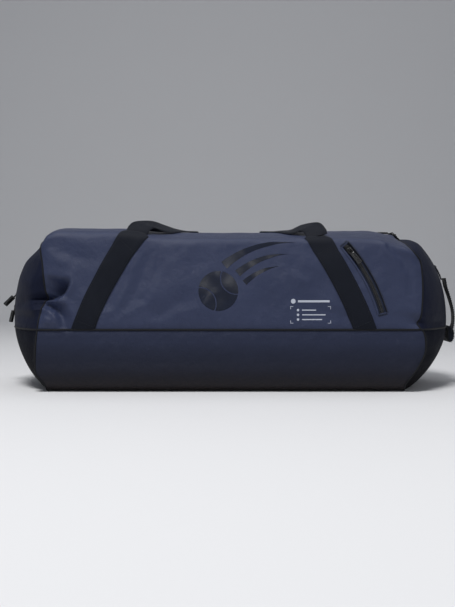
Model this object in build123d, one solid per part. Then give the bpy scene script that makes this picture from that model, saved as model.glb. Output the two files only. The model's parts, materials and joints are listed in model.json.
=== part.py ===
from build123d import *
from math import atan2, cos, degrees, hypot, radians, sin, sqrt
import os

# A racket tournament bag: a long soft duffel of coated fabric on a stiffer base, with bulging ends.
# Frame: origin on the floor under the middle of the base, +X along the bag, -Y to its front face,
# +Z up. Millimetres. The bag's form is where three outlines meet: a front outline (XZ), a cross
# section (YZ) and a plan (XY). Every panel is cut from the wall between two such forms.

# Overall form
HALF_LENGTH = 400.0        # middle of the bag to the furthest point of an end
CORNER_X = 325.0           # middle of the bag to the corners of its front face
HALF_DEPTH = 165.0         # middle of the bag to the front face, at its fullest
HEIGHT = 285.0             # floor to crown
BELLY_Z = 107.0            # height where the wall is fullest and the base ends
SHOULDER_Y = 148.0         # where the front face would meet the top
SHOULDER_DROP = 23.0       # how far the shoulder is below the crown
END_RADIUS = 0.702 * HEIGHT       # radius of an end's upper part, seen from the front
END_FOOT_RADIUS = 0.579 * HEIGHT  # and of its lower part
END_APEX_Z = 0.449 * HEIGHT       # height of an end's furthest point
FOOT_BULGE = (0.72, 0.24)  # the base edge curve's middle, as shares of its width and height
SIDE_TUCK = 3.0            # how much narrower the wall is at the top of that curve than at the belly
BASE_HALF = 120.0          # half the flat of the base, front to back
BASE_CURVE_Z = 48.0        # height where the base's edge curve ends
SHOULDER_FILLET = 14.0
CROWN_FILLET = 15.0
FOOT_FILLET = 12.0

# Cloth and webbing
WALL = 4.0                 # coated fabric, foam and lining
LINING = 1.2
SEAM_GAP = 0.3             # clearance between sewn layers that are separate solids
WEBBING = 2.2
STRAP_WIDTH = 38.0
PIPING = 3.0
PIPING_HEIGHT = 5.0

# Top opening
SEAM_X = 318.0             # end seams, from the middle
FLAP_HALF = 296.0          # half the length of the opening flaps
FLAP_GAP = 0.4
HINGE_Y = 136.0            # fold line of each flap, from the middle
CHANNEL = 18.0             # open width over a zip
BRIDGE_END = 2.0           # cloth left between the channel and the end seam

# Zip
TAPE = 1.2
TAPE_SLOT = 1.6            # gap between the two tapes, where the slider's post runs
CHAIN_WIDTH = 2.4
CHAIN_HEIGHT = 2.4
TAPE_REACH = 26.0          # outer edge of a main tape, from its middle
SMALL_TAPE_REACH = 15.0
MAIN_SINK = WALL + 1.0     # tape's face below the cloth's face
POCKET_SINK = WALL + SEAM_GAP
STOP_LENGTH = 4.0
STOP_HALF = 3.5
STOP_INSET = 4.0           # from a stop to the end seam

# Slider and pull
SLIDER_LENGTH = 14.0
SLIDER_WIDTH = 10.0
PLATE = 1.4
SLIDER_CLEAR = 0.4
POST_THICK = 0.9
BAR_RADIUS = 0.8
ARCH_WIDTH = 2.8
PULL_LENGTH = 30.0
PULL_WIDTH = 8.0
PULL_THICK = 1.6
PULL_ARM = 9.0             # length of the ring between the bar and the tab
POST_X = (-1.0, 5.0)       # the post between the plates, along the slider
BAR_CLEAR = (0.6, 0.4)     # room round the bar in the arch: along the slider, and above
JOIN = 0.1                 # overlap between parts of one moulding

# Straps and handles: middle of each strap where it leaves the base, and at the top
STRAP_FOOT_X = (-250.0, 230.0)
STRAP_HEAD_X = (-162.0, 150.0)
STRAP_BOW = (9.0, -5.0)    # how far a strap bows to the left of a straight line
STRAP_END_GAP = 3.5        # room for a tab to turn over with its flap
STRAP_OVER = 4.0           # height above the shoulder where a strap's head is
TAB_LENGTH = 7.0
TAB_SPREAD = 0.56          # a slanted strap is this share of its width, each way, along the fold
HANDLE_BAR_X = (-96.0, 84.0)
HANDLE_FAR_Y = 24.0        # the lying handle's far edge, from the crown line
HANDLE_RISE = (21.0, 21.0) # from its root to its bend, inwards and up
HANDLE_LIE_Y = 76.0        # where it comes down to the flap, from the crown line
HANDLE_LIFT = 1.5          # its underside over the flap
HANDLE_BEND = 12.0

# End handle
END_STRAP_WIDTH = 30.0
END_STRAP_Y = 47.0
END_TAB_Z = (194.0, 216.0)
END_LEG_Z = 160.0          # its legs leave the end's surface about here
END_BEND = 30.0
END_LEG_TURN = 10.0        # the legs turn towards the grip this far below where they leave
END_DROP = 36.0            # and hang straight from this far above the grip's middle
END_FAN = (6.0, 18.0)      # the loop passes the grip's ends by this below, and inside them by this above
GRIP_ROUND = 3.5
GRIP_SIZE = (12.0, 84.0, 30.0)
GRIP_X = 406.0
GRIP_Z = 92.0

# Front pocket
POCKET_ZIP_TOP = (198.0, 146.0)     # on the face: along X, and up the face from the belly
POCKET_ZIP_FOOT = (262.0, 22.0)
POCKET_ZIP_BOW = 8.0
POCKET_U = (178.0, 314.0)
POCKET_V = (8.0, 150.0)
POCKET_DEPTH = 22.0

# End pocket zip, as angles about the end's centre
END_ZIP = (-2.5, 33.0)
END_SLIDERS = {"upper": 10.5, "lower": 4.0}
END_LOWER_STOP = 1.4         # lowest place of the lower slider, so its pull stays clear of the panel
POCKET_PULL_ROOM = 7.0       # the pocket slider stops this far short, so its pull stays clear of the piping

# Inside
BOARD = 3.0
BOARD_HALF_Y = 116.0
DIVIDER = 6.0
DIVIDER_TOP = 225.0
LINER_X = -308.0
INSIDE_CLEAR = 0.5

BIG = 1000.0


def outline_xz(grow):
    """Front outline: flat base and crown, two arcs that meet at each end's furthest point."""
    low, high = -grow, HEIGHT + grow

    def reach(radius, z):
        """How far out an end's arc is at a height."""
        return HALF_LENGTH - radius + sqrt((radius + grow) ** 2 - (END_APEX_Z - z) ** 2)

    def arc(radius, z0, z1, side):
        mid = (z0 + z1) / 2
        return ThreePointArc(*[(side * reach(radius, z), z) for z in (z0, mid, z1)])

    low_x, high_x = reach(END_FOOT_RADIUS, low), reach(END_RADIUS, high)
    edges = [Line((-low_x, low), (low_x, low)), Line((-high_x, high), (high_x, high))]
    for side in (-1, 1):
        edges.append(arc(END_FOOT_RADIUS, low, END_APEX_Z, side))
        edges.append(arc(END_RADIUS, END_APEX_Z, high, side))
    face = make_face(edges)
    for z, radius in ((high, CROWN_FILLET), (low, FOOT_FILLET)):
        corners = [v for v in face.vertices() if abs(v.Y - z) < 0.01]
        face = fillet(corners, radius + grow)
    return face


def top_radius():
    """Radius of the top, in cross section."""
    return (SHOULDER_Y**2 + SHOULDER_DROP**2) / (2 * SHOULDER_DROP)


def outline_yz(grow):
    """Cross section: flat base, round lower edges, near-flat walls that lean in, a slightly round top."""
    foot_mid_y = BASE_HALF + FOOT_BULGE[0] * (HALF_DEPTH - BASE_HALF)
    foot_mid_z = BASE_CURVE_Z * FOOT_BULGE[1]
    side_y = HALF_DEPTH - SIDE_TUCK
    right = [
        (BASE_HALF, 0.0),
        (foot_mid_y, foot_mid_z),
        (side_y, BASE_CURVE_Z),
        (HALF_DEPTH, BELLY_Z),
        (SHOULDER_Y, HEIGHT - SHOULDER_DROP),
    ]
    left = [(-y, z) for y, z in right]
    edges = [
        Line(left[0], right[0]),
        ThreePointArc(right[0], right[1], right[2]),
        Line(right[2], right[3]),
        Line(right[3], right[4]),
        ThreePointArc(right[4], (0, HEIGHT), left[4]),
        Line(left[4], left[3]),
        Line(left[3], left[2]),
        ThreePointArc(left[2], left[1], left[0]),
    ]
    face = make_face(edges)
    shoulders = [v for v in face.vertices() if abs(v.Y - right[4][1]) < 0.01]
    face = fillet(shoulders, SHOULDER_FILLET)
    return offset(face, amount=grow, kind=Kind.ARC) if grow else face


def outline_xy(grow):
    """Plan: straight front and back, a round arc at each end."""
    bulge = HALF_LENGTH - CORNER_X
    radius = (HALF_DEPTH**2 + bulge**2) / (2 * bulge)
    centre_x = HALF_LENGTH - radius
    wide, apex = HALF_DEPTH + grow, HALF_LENGTH + grow
    corner = centre_x + sqrt((radius + grow) ** 2 - wide**2)
    return make_face(
        [
            Line((-corner, -wide), (corner, -wide)),
            ThreePointArc((corner, -wide), (apex, 0), (corner, wide)),
            Line((corner, wide), (-corner, wide)),
            ThreePointArc((-corner, wide), (-apex, 0), (-corner, -wide)),
        ]
    )


def form(grow):
    """The bag's solid form, grown outwards by grow or shrunk if it is negative."""
    front = extrude(Plane.XZ * outline_xz(grow), BIG, both=True)
    section = extrude(Plane.YZ * outline_yz(grow), BIG, both=True)
    plan = extrude(Plane.XY * outline_xy(grow), BIG, both=True)
    return front & section & plan


def span(x, y, z):
    """A box between low and high limits on each axis."""
    size = [hi - lo for lo, hi in (x, y, z)]
    centre = [(hi + lo) / 2 for lo, hi in (x, y, z)]
    return Pos(*centre) * Box(*size)


def bar(x0, x1, half_y, z0, z1):
    """A box centred on the crown line."""
    return span((x0, x1), (-half_y, half_y), (z0, z1))


def mirror_y(shape):
    return mirror(shape, Plane.XZ)


def save(name, *shapes):
    solids = [s for shape in shapes for s in shape.solids()]
    export_step(Compound(solids), f"parts/{name}.step")
    print(name, len(solids), round(sum(s.volume for s in solids)))


# The front face's upper wall is flat, so what lies on it is placed in the wall's own plane
LEAN = degrees(atan2(HALF_DEPTH - SHOULDER_Y, HEIGHT - SHOULDER_DROP - BELLY_Z))
WALL_PLANE = Plane(
    origin=(0, -HALF_DEPTH, BELLY_Z),
    x_dir=(1, 0, 0),
    z_dir=(0, -cos(radians(LEAN)), sin(radians(LEAN))),
)


def arc_centre(start, end, bow):
    """Centre and radius of the arc from start to end that bows out by bow, to the left of its way."""
    dx, dy = end[0] - start[0], end[1] - start[1]
    chord = hypot(dx, dy)
    radius = chord**2 / (8 * abs(bow)) + abs(bow) / 2
    side = 1 if bow > 0 else -1
    reach = (radius - abs(bow)) * side
    mid = ((start[0] + end[0]) / 2, (start[1] + end[1]) / 2)
    return (mid[0] + dy / chord * reach, mid[1] - dx / chord * reach), radius


def ring_part(centre, r0, r1, a0, a1):
    """A flat face between two radii and two angles, in degrees."""
    def at(r, a):
        return (centre[0] + r * cos(radians(a)), centre[1] + r * sin(radians(a)))

    mid = (a0 + a1) / 2
    return make_face(
        [
            ThreePointArc(at(r1, a0), at(r1, mid), at(r1, a1)),
            Line(at(r1, a1), at(r0, a1)),
            ThreePointArc(at(r0, a1), at(r0, mid), at(r0, a0)),
            Line(at(r0, a0), at(r1, a0)),
        ]
    )


def slider():
    """A zip slider. Local frame: +X its way of travel, Z 0 the tape's face, outwards up."""
    top = CHAIN_HEIGHT + SLIDER_CLEAR
    low = -TAPE - SLIDER_CLEAR
    upper = Pos(0, 0, top + PLATE / 2) * Box(SLIDER_LENGTH, SLIDER_WIDTH, PLATE)
    lower = Pos(0, 0, low - PLATE / 2) * Box(SLIDER_LENGTH, SLIDER_WIDTH - 1, PLATE)
    post = span(POST_X, (-POST_THICK / 2, POST_THICK / 2), (low - JOIN, top + JOIN))
    body = upper + lower + post
    for side in (-1, 1):
        inner = TAPE_SLOT / 2 + CHAIN_WIDTH + SLIDER_CLEAR
        edges = sorted((side * inner, side * SLIDER_WIDTH / 2))
        body += span((-SLIDER_LENGTH / 2, SLIDER_LENGTH / 2), edges, (SLIDER_CLEAR, top + JOIN))
    eye_x = BAR_RADIUS + BAR_CLEAR[0]
    eye_top = pull_axis() + BAR_RADIUS + BAR_CLEAR[1]
    arch_x = eye_x + PLATE
    arch_z = (top + PLATE - JOIN, eye_top + PLATE * 0.7)
    arch = span((-arch_x, arch_x), (-ARCH_WIDTH / 2, ARCH_WIDTH / 2), arch_z)
    eye = span((-eye_x, eye_x), (-ARCH_WIDTH, ARCH_WIDTH), (top + PLATE, eye_top))
    return body + (arch - eye)


def pull_axis():
    """Height of the pull's bar above the tape's face."""
    return CHAIN_HEIGHT + SLIDER_CLEAR + PLATE + BAR_RADIUS + SEAM_GAP


def pull(way):
    """The pull on a slider's arch, lying along local X in the given way."""
    axis = pull_axis()
    arm_in = ARCH_WIDTH / 2 + SLIDER_CLEAR
    arm_out = arm_in + 2 * BAR_RADIUS
    pin = Pos(0, 0, axis) * Rot(90, 0, 0) * Cylinder(BAR_RADIUS, 2 * arm_out)
    shape = pin
    for side in (-1, 1):
        edges = sorted((side * arm_in, side * arm_out))
        shape += span((0, PULL_ARM), edges, (axis - BAR_RADIUS * 0.9, axis + BAR_RADIUS))
    tab_z = (axis + JOIN, axis + JOIN + PULL_THICK)
    tab = span((PULL_ARM - 2 * BAR_RADIUS, PULL_LENGTH), (-PULL_WIDTH / 2, PULL_WIDTH / 2), tab_z)
    ends = tab.edges().filter_by(Axis.Z).group_by(Axis.X)[-1]
    shape += fillet(ends, PULL_WIDTH * 0.35)
    return shape if way > 0 else Rot(0, 0, 180) * shape


def layer(low, high):
    """The cloth-wide layer between two growths of the form."""
    return form(high) - form(low)


os.makedirs("parts", exist_ok=True)

outer = form(0)
shell = outer - form(-WALL)
strap_layer = layer(SEAM_GAP, SEAM_GAP + WEBBING)
piping_layer = form(PIPING) - outer

# ---------------------------------------------------------------- zips on curves and on the face
pocket_centre, pocket_radius = arc_centre(POCKET_ZIP_FOOT, POCKET_ZIP_TOP, -POCKET_ZIP_BOW)


def pocket_angle(point):
    return degrees(atan2(point[1] - pocket_centre[1], point[0] - pocket_centre[0]))


POCKET_A0, POCKET_A1 = pocket_angle(POCKET_ZIP_FOOT), pocket_angle(POCKET_ZIP_TOP)


def pocket_ring(inner, outer_, over=0.0):
    """A face on the front wall, between two offsets from the pocket zip's line."""
    low, high = POCKET_A0 - over, POCKET_A1 + over
    return ring_part(pocket_centre, pocket_radius + inner, pocket_radius + outer_, low, high)


def on_wall(face, low, high):
    """A face on the front wall, made solid between two heights above the cloth's face."""
    return WALL_PLANE * (Pos(0, 0, low) * extrude(face, high - low))


def along_pocket(angle, sink):
    """Place of a slider on the pocket zip: +X local towards the top of the zip."""
    r = radians(angle)
    at = (pocket_centre[0] + pocket_radius * cos(r), pocket_centre[1] + pocket_radius * sin(r), -sink)
    return WALL_PLANE * (Pos(*at) * Rot(0, 0, angle + 90))


def end_band(inner, outer_, a0, a1, y0, y1):
    """A curved band on the left end: radii, angles up from its furthest point, and limits on Y."""
    centre = (-(HALF_LENGTH - END_RADIUS), END_APEX_Z)
    face = ring_part(centre, inner, outer_, 180 - a1, 180 - a0)
    band = extrude(Plane.XZ * face, y1 - y0)
    return Pos(0, y1, 0) * band


def along_end(angle, sink):
    """Place of a slider on the left end's zip: +X local upwards along the zip."""
    r = radians(angle)
    reach = END_RADIUS - sink
    x = -(HALF_LENGTH - END_RADIUS) - reach * cos(r)
    z = END_APEX_Z + reach * sin(r)
    up = (sin(r), 0, cos(r))
    out = (-cos(r), 0, sin(r))
    return Plane(origin=(x, 0, z), x_dir=up, z_dir=out)


# ---------------------------------------------------------------- shell panels
HIGH = HEIGHT + 60         # above everything
LOW = -1.0                 # below everything
front_slot = on_wall(pocket_ring(-CHANNEL / 2, CHANNEL / 2), -WALL * 2, WALL)
front_cut = span((-SEAM_X, SEAM_X), (-BIG, -HINGE_Y), (BELLY_Z, HIGH))
front_panel = (shell & front_cut) - front_slot
rear_panel = shell & mirror_y(front_cut)
base_panel = shell & span((-SEAM_X, SEAM_X), (-BIG, BIG), (LOW, BELLY_Z))
save("front_panel", front_panel)
save("rear_panel", rear_panel)
save("base_panel", base_panel)

end_slot = end_band(END_RADIUS - 3 * WALL, END_RADIUS + WALL, *END_ZIP, -CHANNEL / 2, CHANNEL / 2)
for name, x in (("left", (-BIG, -SEAM_X)), ("right", (SEAM_X, BIG))):
    end_panel = shell & span(x, (-BIG, BIG), (BELLY_Z, HIGH))
    if name == "left":
        end_panel -= end_slot
    save(f"end_panel_{name}", end_panel)
    save(f"end_base_{name}", shell & span(x, (-BIG, BIG), (LOW, BELLY_Z)))

# A short fixed bridge of cloth at each end of the opening, with the zip's channel in it
for name, side in (("left", -1), ("right", 1)):
    x = sorted((side * FLAP_HALF, side * SEAM_X))
    bridge = shell & span(x, (-HINGE_Y, HINGE_Y), (HEIGHT / 2, HIGH))
    channel_x = sorted((side * FLAP_HALF, side * (SEAM_X - BRIDGE_END)))
    save(f"top_bridge_{name}", bridge - span(channel_x, (-CHANNEL / 2, CHANNEL / 2), (0, HIGH)))

piping_z = (BELLY_Z - PIPING_HEIGHT / 2, BELLY_Z + PIPING_HEIGHT / 2)
save("base_piping", piping_layer & span((-SEAM_X, SEAM_X), (-BIG, BIG), piping_z))

# ---------------------------------------------------------------- straps sewn to the walls
strap_bottom = piping_z[1] + SEAM_GAP
strap_top = HEIGHT - SHOULDER_DROP + STRAP_OVER


def strap_band(n):
    """A strap's outline on XZ: a band of constant width about a gentle arc."""
    foot, head = (STRAP_FOOT_X[n], BELLY_Z), (STRAP_HEAD_X[n], strap_top)
    centre, radius = arc_centre(foot, head, STRAP_BOW[n])
    a0 = degrees(atan2(foot[1] - centre[1], foot[0] - centre[0]))
    a1 = degrees(atan2(head[1] - centre[1], head[0] - centre[0]))
    over = (a1 - a0) * 0.15
    return ring_part(centre, radius - STRAP_WIDTH / 2, radius + STRAP_WIDTH / 2, a0 - over, a1 + over)


for n, name in enumerate(("left", "right")):
    # Plane.XZ faces -Y, so a positive extrusion runs to the front
    column = extrude(Plane.XZ * strap_band(n), BIG)
    reach = span((-BIG, BIG), (-BIG, -HINGE_Y - STRAP_END_GAP), (strap_bottom, HIGH))
    strap = strap_layer & column & reach
    save(f"front_strap_{name}", strap)
    save(f"rear_strap_{name}", mirror_y(strap))

# ---------------------------------------------------------------- opening flaps
flap_x = (-FLAP_HALF + FLAP_GAP, FLAP_HALF - FLAP_GAP)
flap_cut = span(flap_x, (-HINGE_Y + FLAP_GAP, -CHANNEL / 2), (HEIGHT / 2, HIGH))
front_flap = shell & flap_cut
save("top_flap_front", front_flap)
save("top_flap_rear", mirror_y(front_flap))

tape_face = HEIGHT - MAIN_SINK
half_tape = span(flap_x, (-TAPE_REACH, -TAPE_SLOT / 2), (tape_face - TAPE, tape_face))
chain_y = (-TAPE_SLOT / 2 - CHAIN_WIDTH, -TAPE_SLOT / 2)
half_chain = span(flap_x, chain_y, (tape_face, tape_face + CHAIN_HEIGHT))
save("main_zip_tape_front", half_tape)
save("main_zip_tape_rear", mirror_y(half_tape))
save("main_zip_teeth_front", half_chain)
save("main_zip_teeth_rear", mirror_y(half_chain))

# The fixed ends of the zip under the bridges, each with a stop, where the slider parks
zip_ends, zip_stops = [], []
for side in (-1, 1):
    def along(a, b):
        return sorted((side * a, side * b))

    stop_x = SEAM_X - STOP_INSET
    tape_x = along(FLAP_HALF + FLAP_GAP, SEAM_X - 1)
    end_tape = span(tape_x, (-TAPE_REACH, TAPE_REACH), (tape_face - TAPE, tape_face))
    slot = span(along(FLAP_HALF, stop_x - STOP_LENGTH), (-TAPE_SLOT / 2, TAPE_SLOT / 2), (0, HIGH))
    zip_ends.append(end_tape - slot)
    stop_z = (tape_face, tape_face + CHAIN_HEIGHT + 1)
    zip_stops.append(span(along(stop_x - STOP_LENGTH + 1, stop_x), (-STOP_HALF, STOP_HALF), stop_z))
save("main_zip_ends", *zip_ends)
save("main_zip_stops", *zip_stops)

PARK_X = FLAP_HALF + 1.0 + SLIDER_LENGTH / 2
main_place = Pos(PARK_X, 0, tape_face)
save("main_slider", main_place * slider())
save("main_pull", main_place * pull(-1))

# ---------------------------------------------------------------- carry handles, lying on the flaps
top_r = top_radius()


def top_z(y):
    return HEIGHT - top_r + sqrt(top_r**2 - y**2)


def handle_outline():
    """Plan of the handle as it lies: two legs and the bar between them."""
    root_y = -HINGE_Y + TAB_LENGTH
    far = -HANDLE_FAR_Y
    half = STRAP_WIDTH / 2
    lean = STRAP_WIDTH * TAB_SPREAD
    out = [
        (STRAP_HEAD_X[0] - lean, root_y),
        (HANDLE_BAR_X[0] - half, far - STRAP_WIDTH * 0.6),
        (HANDLE_BAR_X[0], far),
        (HANDLE_BAR_X[1], far),
        (HANDLE_BAR_X[1] + half, far - STRAP_WIDTH * 0.6),
        (STRAP_HEAD_X[1] + lean, root_y),
        (STRAP_HEAD_X[1] - lean, root_y),
        (HANDLE_BAR_X[1] - half * 0.5, far - STRAP_WIDTH),
        (HANDLE_BAR_X[0] + half * 0.5, far - STRAP_WIDTH),
        (STRAP_HEAD_X[0] + lean, root_y),
    ]
    return make_face(Polyline(*out, close=True))


TAB_TOP = SEAM_GAP + WEBBING
HANDLE_HINGE = (-HINGE_Y + TAB_LENGTH + SEAM_GAP, top_z(HINGE_Y - TAB_LENGTH) + TAB_TOP + SEAM_GAP)


def handle():
    """The front handle: webbing that rises from its tabs, bends over and lies on the flap."""
    slant = sqrt(0.5)
    root = (
        HANDLE_HINGE[0] + slant * (WEBBING + SEAM_GAP),
        HANDLE_HINGE[1] - slant * (WEBBING - SEAM_GAP),
    )
    path = FilletPolyline(
        root,
        (root[0] + HANDLE_RISE[0], root[1] + HANDLE_RISE[1]),
        (-HANDLE_LIE_Y, top_z(HANDLE_LIE_Y) + HANDLE_LIFT),
        (-HANDLE_FAR_Y, top_z(HANDLE_FAR_Y) + HANDLE_LIFT),
        radius=HANDLE_BEND,
    )
    wide = extrude(Plane.YZ * webbing_band(path), BIG, both=True)
    plan = extrude(handle_outline(), BIG, both=True)
    return wide & plan


def webbing_band(path):
    """A flat band of webbing's thickness, outwards of a path of lines and arcs."""
    return make_face(offset(path, amount=WEBBING, side=Side.LEFT).edges())


front_handle = handle()
save("front_handle", front_handle)
save("rear_handle", mirror_y(front_handle))

tabs = []
for head in STRAP_HEAD_X:
    tab_y = (-HINGE_Y + FLAP_GAP, -HINGE_Y + TAB_LENGTH)
    tab_x = (head - STRAP_WIDTH * TAB_SPREAD, head + STRAP_WIDTH * TAB_SPREAD)
    tabs.append(strap_layer & span(tab_x, tab_y, (HEIGHT / 2, HIGH)))
save("front_handle_tabs", *tabs)
save("rear_handle_tabs", *[mirror_y(t) for t in tabs])

# ---------------------------------------------------------------- end handle, hanging on the right end
def end_x(z):
    """The right end's surface at its middle, by height."""
    return HALF_LENGTH - END_RADIUS + sqrt(END_RADIUS**2 - (z - END_APEX_Z) ** 2)


end_tabs = []
for side in (-1, 1):
    y = sorted((side * (END_STRAP_Y - END_STRAP_WIDTH / 2), side * (END_STRAP_Y + END_STRAP_WIDTH / 2)))
    end_tabs.append(strap_layer & span((SEAM_X, BIG), y, END_TAB_Z))
save("end_handle_tabs", *end_tabs)

END_HINGE = (end_x(END_TAB_Z[0]) + TAB_TOP + SEAM_GAP, END_TAB_Z[0])
hang = FilletPolyline(
    (END_HINGE[0] - WEBBING, END_HINGE[1] - 3 * SEAM_GAP),
    (end_x(END_LEG_Z) + 3, END_LEG_Z),
    (GRIP_X, GRIP_Z + END_DROP),
    (GRIP_X, GRIP_Z - GRIP_SIZE[2] / 2 + 1),
    radius=END_BEND,
)
hang_band = extrude(Plane.XZ * webbing_band(hang), BIG, both=True)
leg_out = END_STRAP_Y + END_STRAP_WIDTH / 2
leg_in = END_STRAP_Y - END_STRAP_WIDTH / 2
grip_half = GRIP_SIZE[1] / 2
grip_low = GRIP_Z - GRIP_SIZE[2] / 2 + 1
grip_high = GRIP_Z + GRIP_SIZE[2] / 2 - 1
turn_z = END_LEG_Z - END_LEG_TURN
half_ring = [
    (leg_out, END_TAB_Z[0]),
    (leg_out, turn_z),
    (grip_half + END_FAN[0], grip_low),
]
half_inner = [
    (grip_half - END_FAN[1], grip_high),
    (leg_in, turn_z),
    (leg_in, END_TAB_Z[0]),
]
def other_side(points):
    return [(-y, z) for y, z in points[::-1]]


ring = half_ring + other_side(half_ring) + other_side(half_inner) + half_inner
ring_column = extrude(Plane.YZ * make_face(Polyline(*ring, close=True)), BIG, both=True)
end_loop = hang_band & ring_column
grip = Pos(GRIP_X, 0, GRIP_Z) * Box(*GRIP_SIZE)
grip = fillet(grip.edges().filter_by(Axis.Y), GRIP_ROUND)
save("end_handle_loop", end_loop)
save("end_handle_grip", grip - end_loop)

# ---------------------------------------------------------------- front pocket
def pocket_strip(inner, outer_, low, high, over=0.0):
    return on_wall(pocket_ring(inner, outer_, over), -POCKET_SINK + low, -POCKET_SINK + high)


half_slot = TAPE_SLOT / 2
under_cloth = form(-WALL - SEAM_GAP)
save(
    "pocket_zip_tape",
    pocket_strip(half_slot, SMALL_TAPE_REACH, -TAPE, 0, 1.4) & under_cloth,
    pocket_strip(-SMALL_TAPE_REACH, -half_slot, -TAPE, 0, 1.4) & under_cloth,
)
save(
    "pocket_zip_teeth",
    pocket_strip(half_slot, half_slot + CHAIN_WIDTH, 0, CHAIN_HEIGHT),
    pocket_strip(-half_slot - CHAIN_WIDTH, -half_slot, 0, CHAIN_HEIGHT),
)
POCKET_REST = POCKET_A1 - degrees((SLIDER_LENGTH / 2 + 3) / pocket_radius)
pocket_place = along_pocket(POCKET_REST, POCKET_SINK)
save("pocket_slider", pocket_place * slider())
save("pocket_pull", pocket_place * pull(-1))

inner_face = -WALL - SEAM_GAP
tray = Rectangle(POCKET_U[1] - POCKET_U[0], POCKET_V[1] - POCKET_V[0])
tray_at = Pos((POCKET_U[0] + POCKET_U[1]) / 2, (POCKET_V[0] + POCKET_V[1]) / 2)
tray_outer = on_wall(tray_at * tray, inner_face - POCKET_DEPTH, inner_face)
hollow = tray_at * offset(tray, amount=-LINING, kind=Kind.INTERSECTION)
tray_hollow = on_wall(hollow, inner_face - POCKET_DEPTH + LINING, inner_face + 1)
tape_room = pocket_strip(-SMALL_TAPE_REACH - 1, SMALL_TAPE_REACH + 1, -TAPE - 1, 2, 2.4)
save("pocket_bag", (tray_outer & under_cloth) - tray_hollow - tape_room)

# ---------------------------------------------------------------- end pocket, on the left end
tape_r = END_RADIUS - MAIN_SINK
tape_angles = (END_ZIP[0] - 2, END_ZIP[1] + 2)
band_y = (half_slot, SMALL_TAPE_REACH)
tape_half = end_band(tape_r - TAPE, tape_r, *tape_angles, *band_y)
save("end_zip_tape", tape_half, mirror_y(tape_half))
chain_half = end_band(tape_r, tape_r + CHAIN_HEIGHT, *END_ZIP, half_slot, half_slot + CHAIN_WIDTH)
save("end_zip_teeth", chain_half, mirror_y(chain_half))
for name, angle in END_SLIDERS.items():
    place = along_end(angle, MAIN_SINK)
    save(f"end_slider_{name}", place * slider())
    hanging = pull(-1)
    if name == "upper":
        # the upper pull leans on the lower slider, so it stands out from the bag
        axis = pull_axis()
        hanging = Pos(0, 0, axis) * Rot(0, 42, 0) * Pos(0, 0, -axis) * hanging
    save(f"end_pull_{name}", place * hanging)

liner = under_cloth & span((LINER_X - LINING, LINER_X), (-BIG, BIG), (-BIG, BIG))
notch_half = TAPE_REACH + SEAM_GAP
notch_low = tape_face - TAPE - SLIDER_CLEAR - PLATE - SEAM_GAP
notch = bar(-BIG, 0, notch_half, notch_low, HIGH)
save("end_pocket_liner", liner - notch)

# ---------------------------------------------------------------- inside
board_x = (LINER_X + INSIDE_CLEAR + 2, SEAM_X - 4)
board = span(board_x, (-BOARD_HALF_Y, BOARD_HALF_Y), (WALL + SEAM_GAP, WALL + SEAM_GAP + BOARD))
save("base_board", board)
divider_low = WALL + SEAM_GAP + BOARD + INSIDE_CLEAR
divider_x = (LINER_X + INSIDE_CLEAR, SEAM_X - 8)
save("divider", span(divider_x, (-DIVIDER / 2, DIVIDER / 2), (divider_low, DIVIDER_TOP)))
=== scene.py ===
import json
import math

import bmesh
import bpy
import numpy as np
from mathutils import Matrix, Vector


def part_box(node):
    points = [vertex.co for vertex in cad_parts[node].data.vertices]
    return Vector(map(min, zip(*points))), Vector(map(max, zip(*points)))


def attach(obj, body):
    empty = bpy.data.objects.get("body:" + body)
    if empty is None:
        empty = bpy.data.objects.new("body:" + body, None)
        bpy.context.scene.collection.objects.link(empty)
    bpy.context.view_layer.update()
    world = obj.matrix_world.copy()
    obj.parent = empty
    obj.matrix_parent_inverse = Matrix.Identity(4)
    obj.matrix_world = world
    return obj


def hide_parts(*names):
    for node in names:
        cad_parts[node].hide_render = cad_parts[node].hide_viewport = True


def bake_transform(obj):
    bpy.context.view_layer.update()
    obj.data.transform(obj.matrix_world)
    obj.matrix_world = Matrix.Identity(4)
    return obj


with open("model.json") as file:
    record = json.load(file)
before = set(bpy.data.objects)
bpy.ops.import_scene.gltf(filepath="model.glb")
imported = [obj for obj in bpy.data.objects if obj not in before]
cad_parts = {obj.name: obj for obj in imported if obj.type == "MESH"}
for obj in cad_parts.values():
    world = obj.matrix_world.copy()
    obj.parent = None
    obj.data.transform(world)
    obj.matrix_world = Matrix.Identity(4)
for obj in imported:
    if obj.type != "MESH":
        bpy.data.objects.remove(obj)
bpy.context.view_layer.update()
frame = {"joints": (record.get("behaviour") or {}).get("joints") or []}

MM = 0.001

# Sizes, in millimetres, read from the solids where a piece has to meet them
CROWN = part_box("top_flap_front")[1][2] / MM
SEAM_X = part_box("front_panel")[1][0] / MM
BOOT_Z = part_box("base_panel")[1][2] / MM
BELLY_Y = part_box("base_panel")[1][1] / MM
APEX_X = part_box("end_panel_right")[1][0] / MM
FLAP_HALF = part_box("top_flap_front")[1][0] / MM
TAPE_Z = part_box("main_zip_tape_front")[1][2] / MM
FOLD_Y = 136.0
ZIP_HALF = 9.0
END_CENTRE = (200.0, 128.0)
END_R = APEX_X - END_CENTRE[0]
END_FOOT_R = 165.0
SHOULDER = (148.0, CROWN - 23.0)
CLOTH = 2.2
WEB = 2.2
STRAP_W = 38.0

JOINT = {j["name"]: j for j in frame["joints"]}
HALVES = ((-1, "front"), (1, "rear"))
ENDS = ((-1, "left"), (1, "right"))


# ------------------------------------------------------------------ numbers
def smooth(lo, hi, v):
    t = np.clip((np.asarray(v, float) - lo) / (hi - lo), 0, 1)
    return t * t * (3 - 2 * t)


def bump(v, centre, width):
    return np.exp(-(((np.asarray(v, float) - centre) / width) ** 2))


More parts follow.
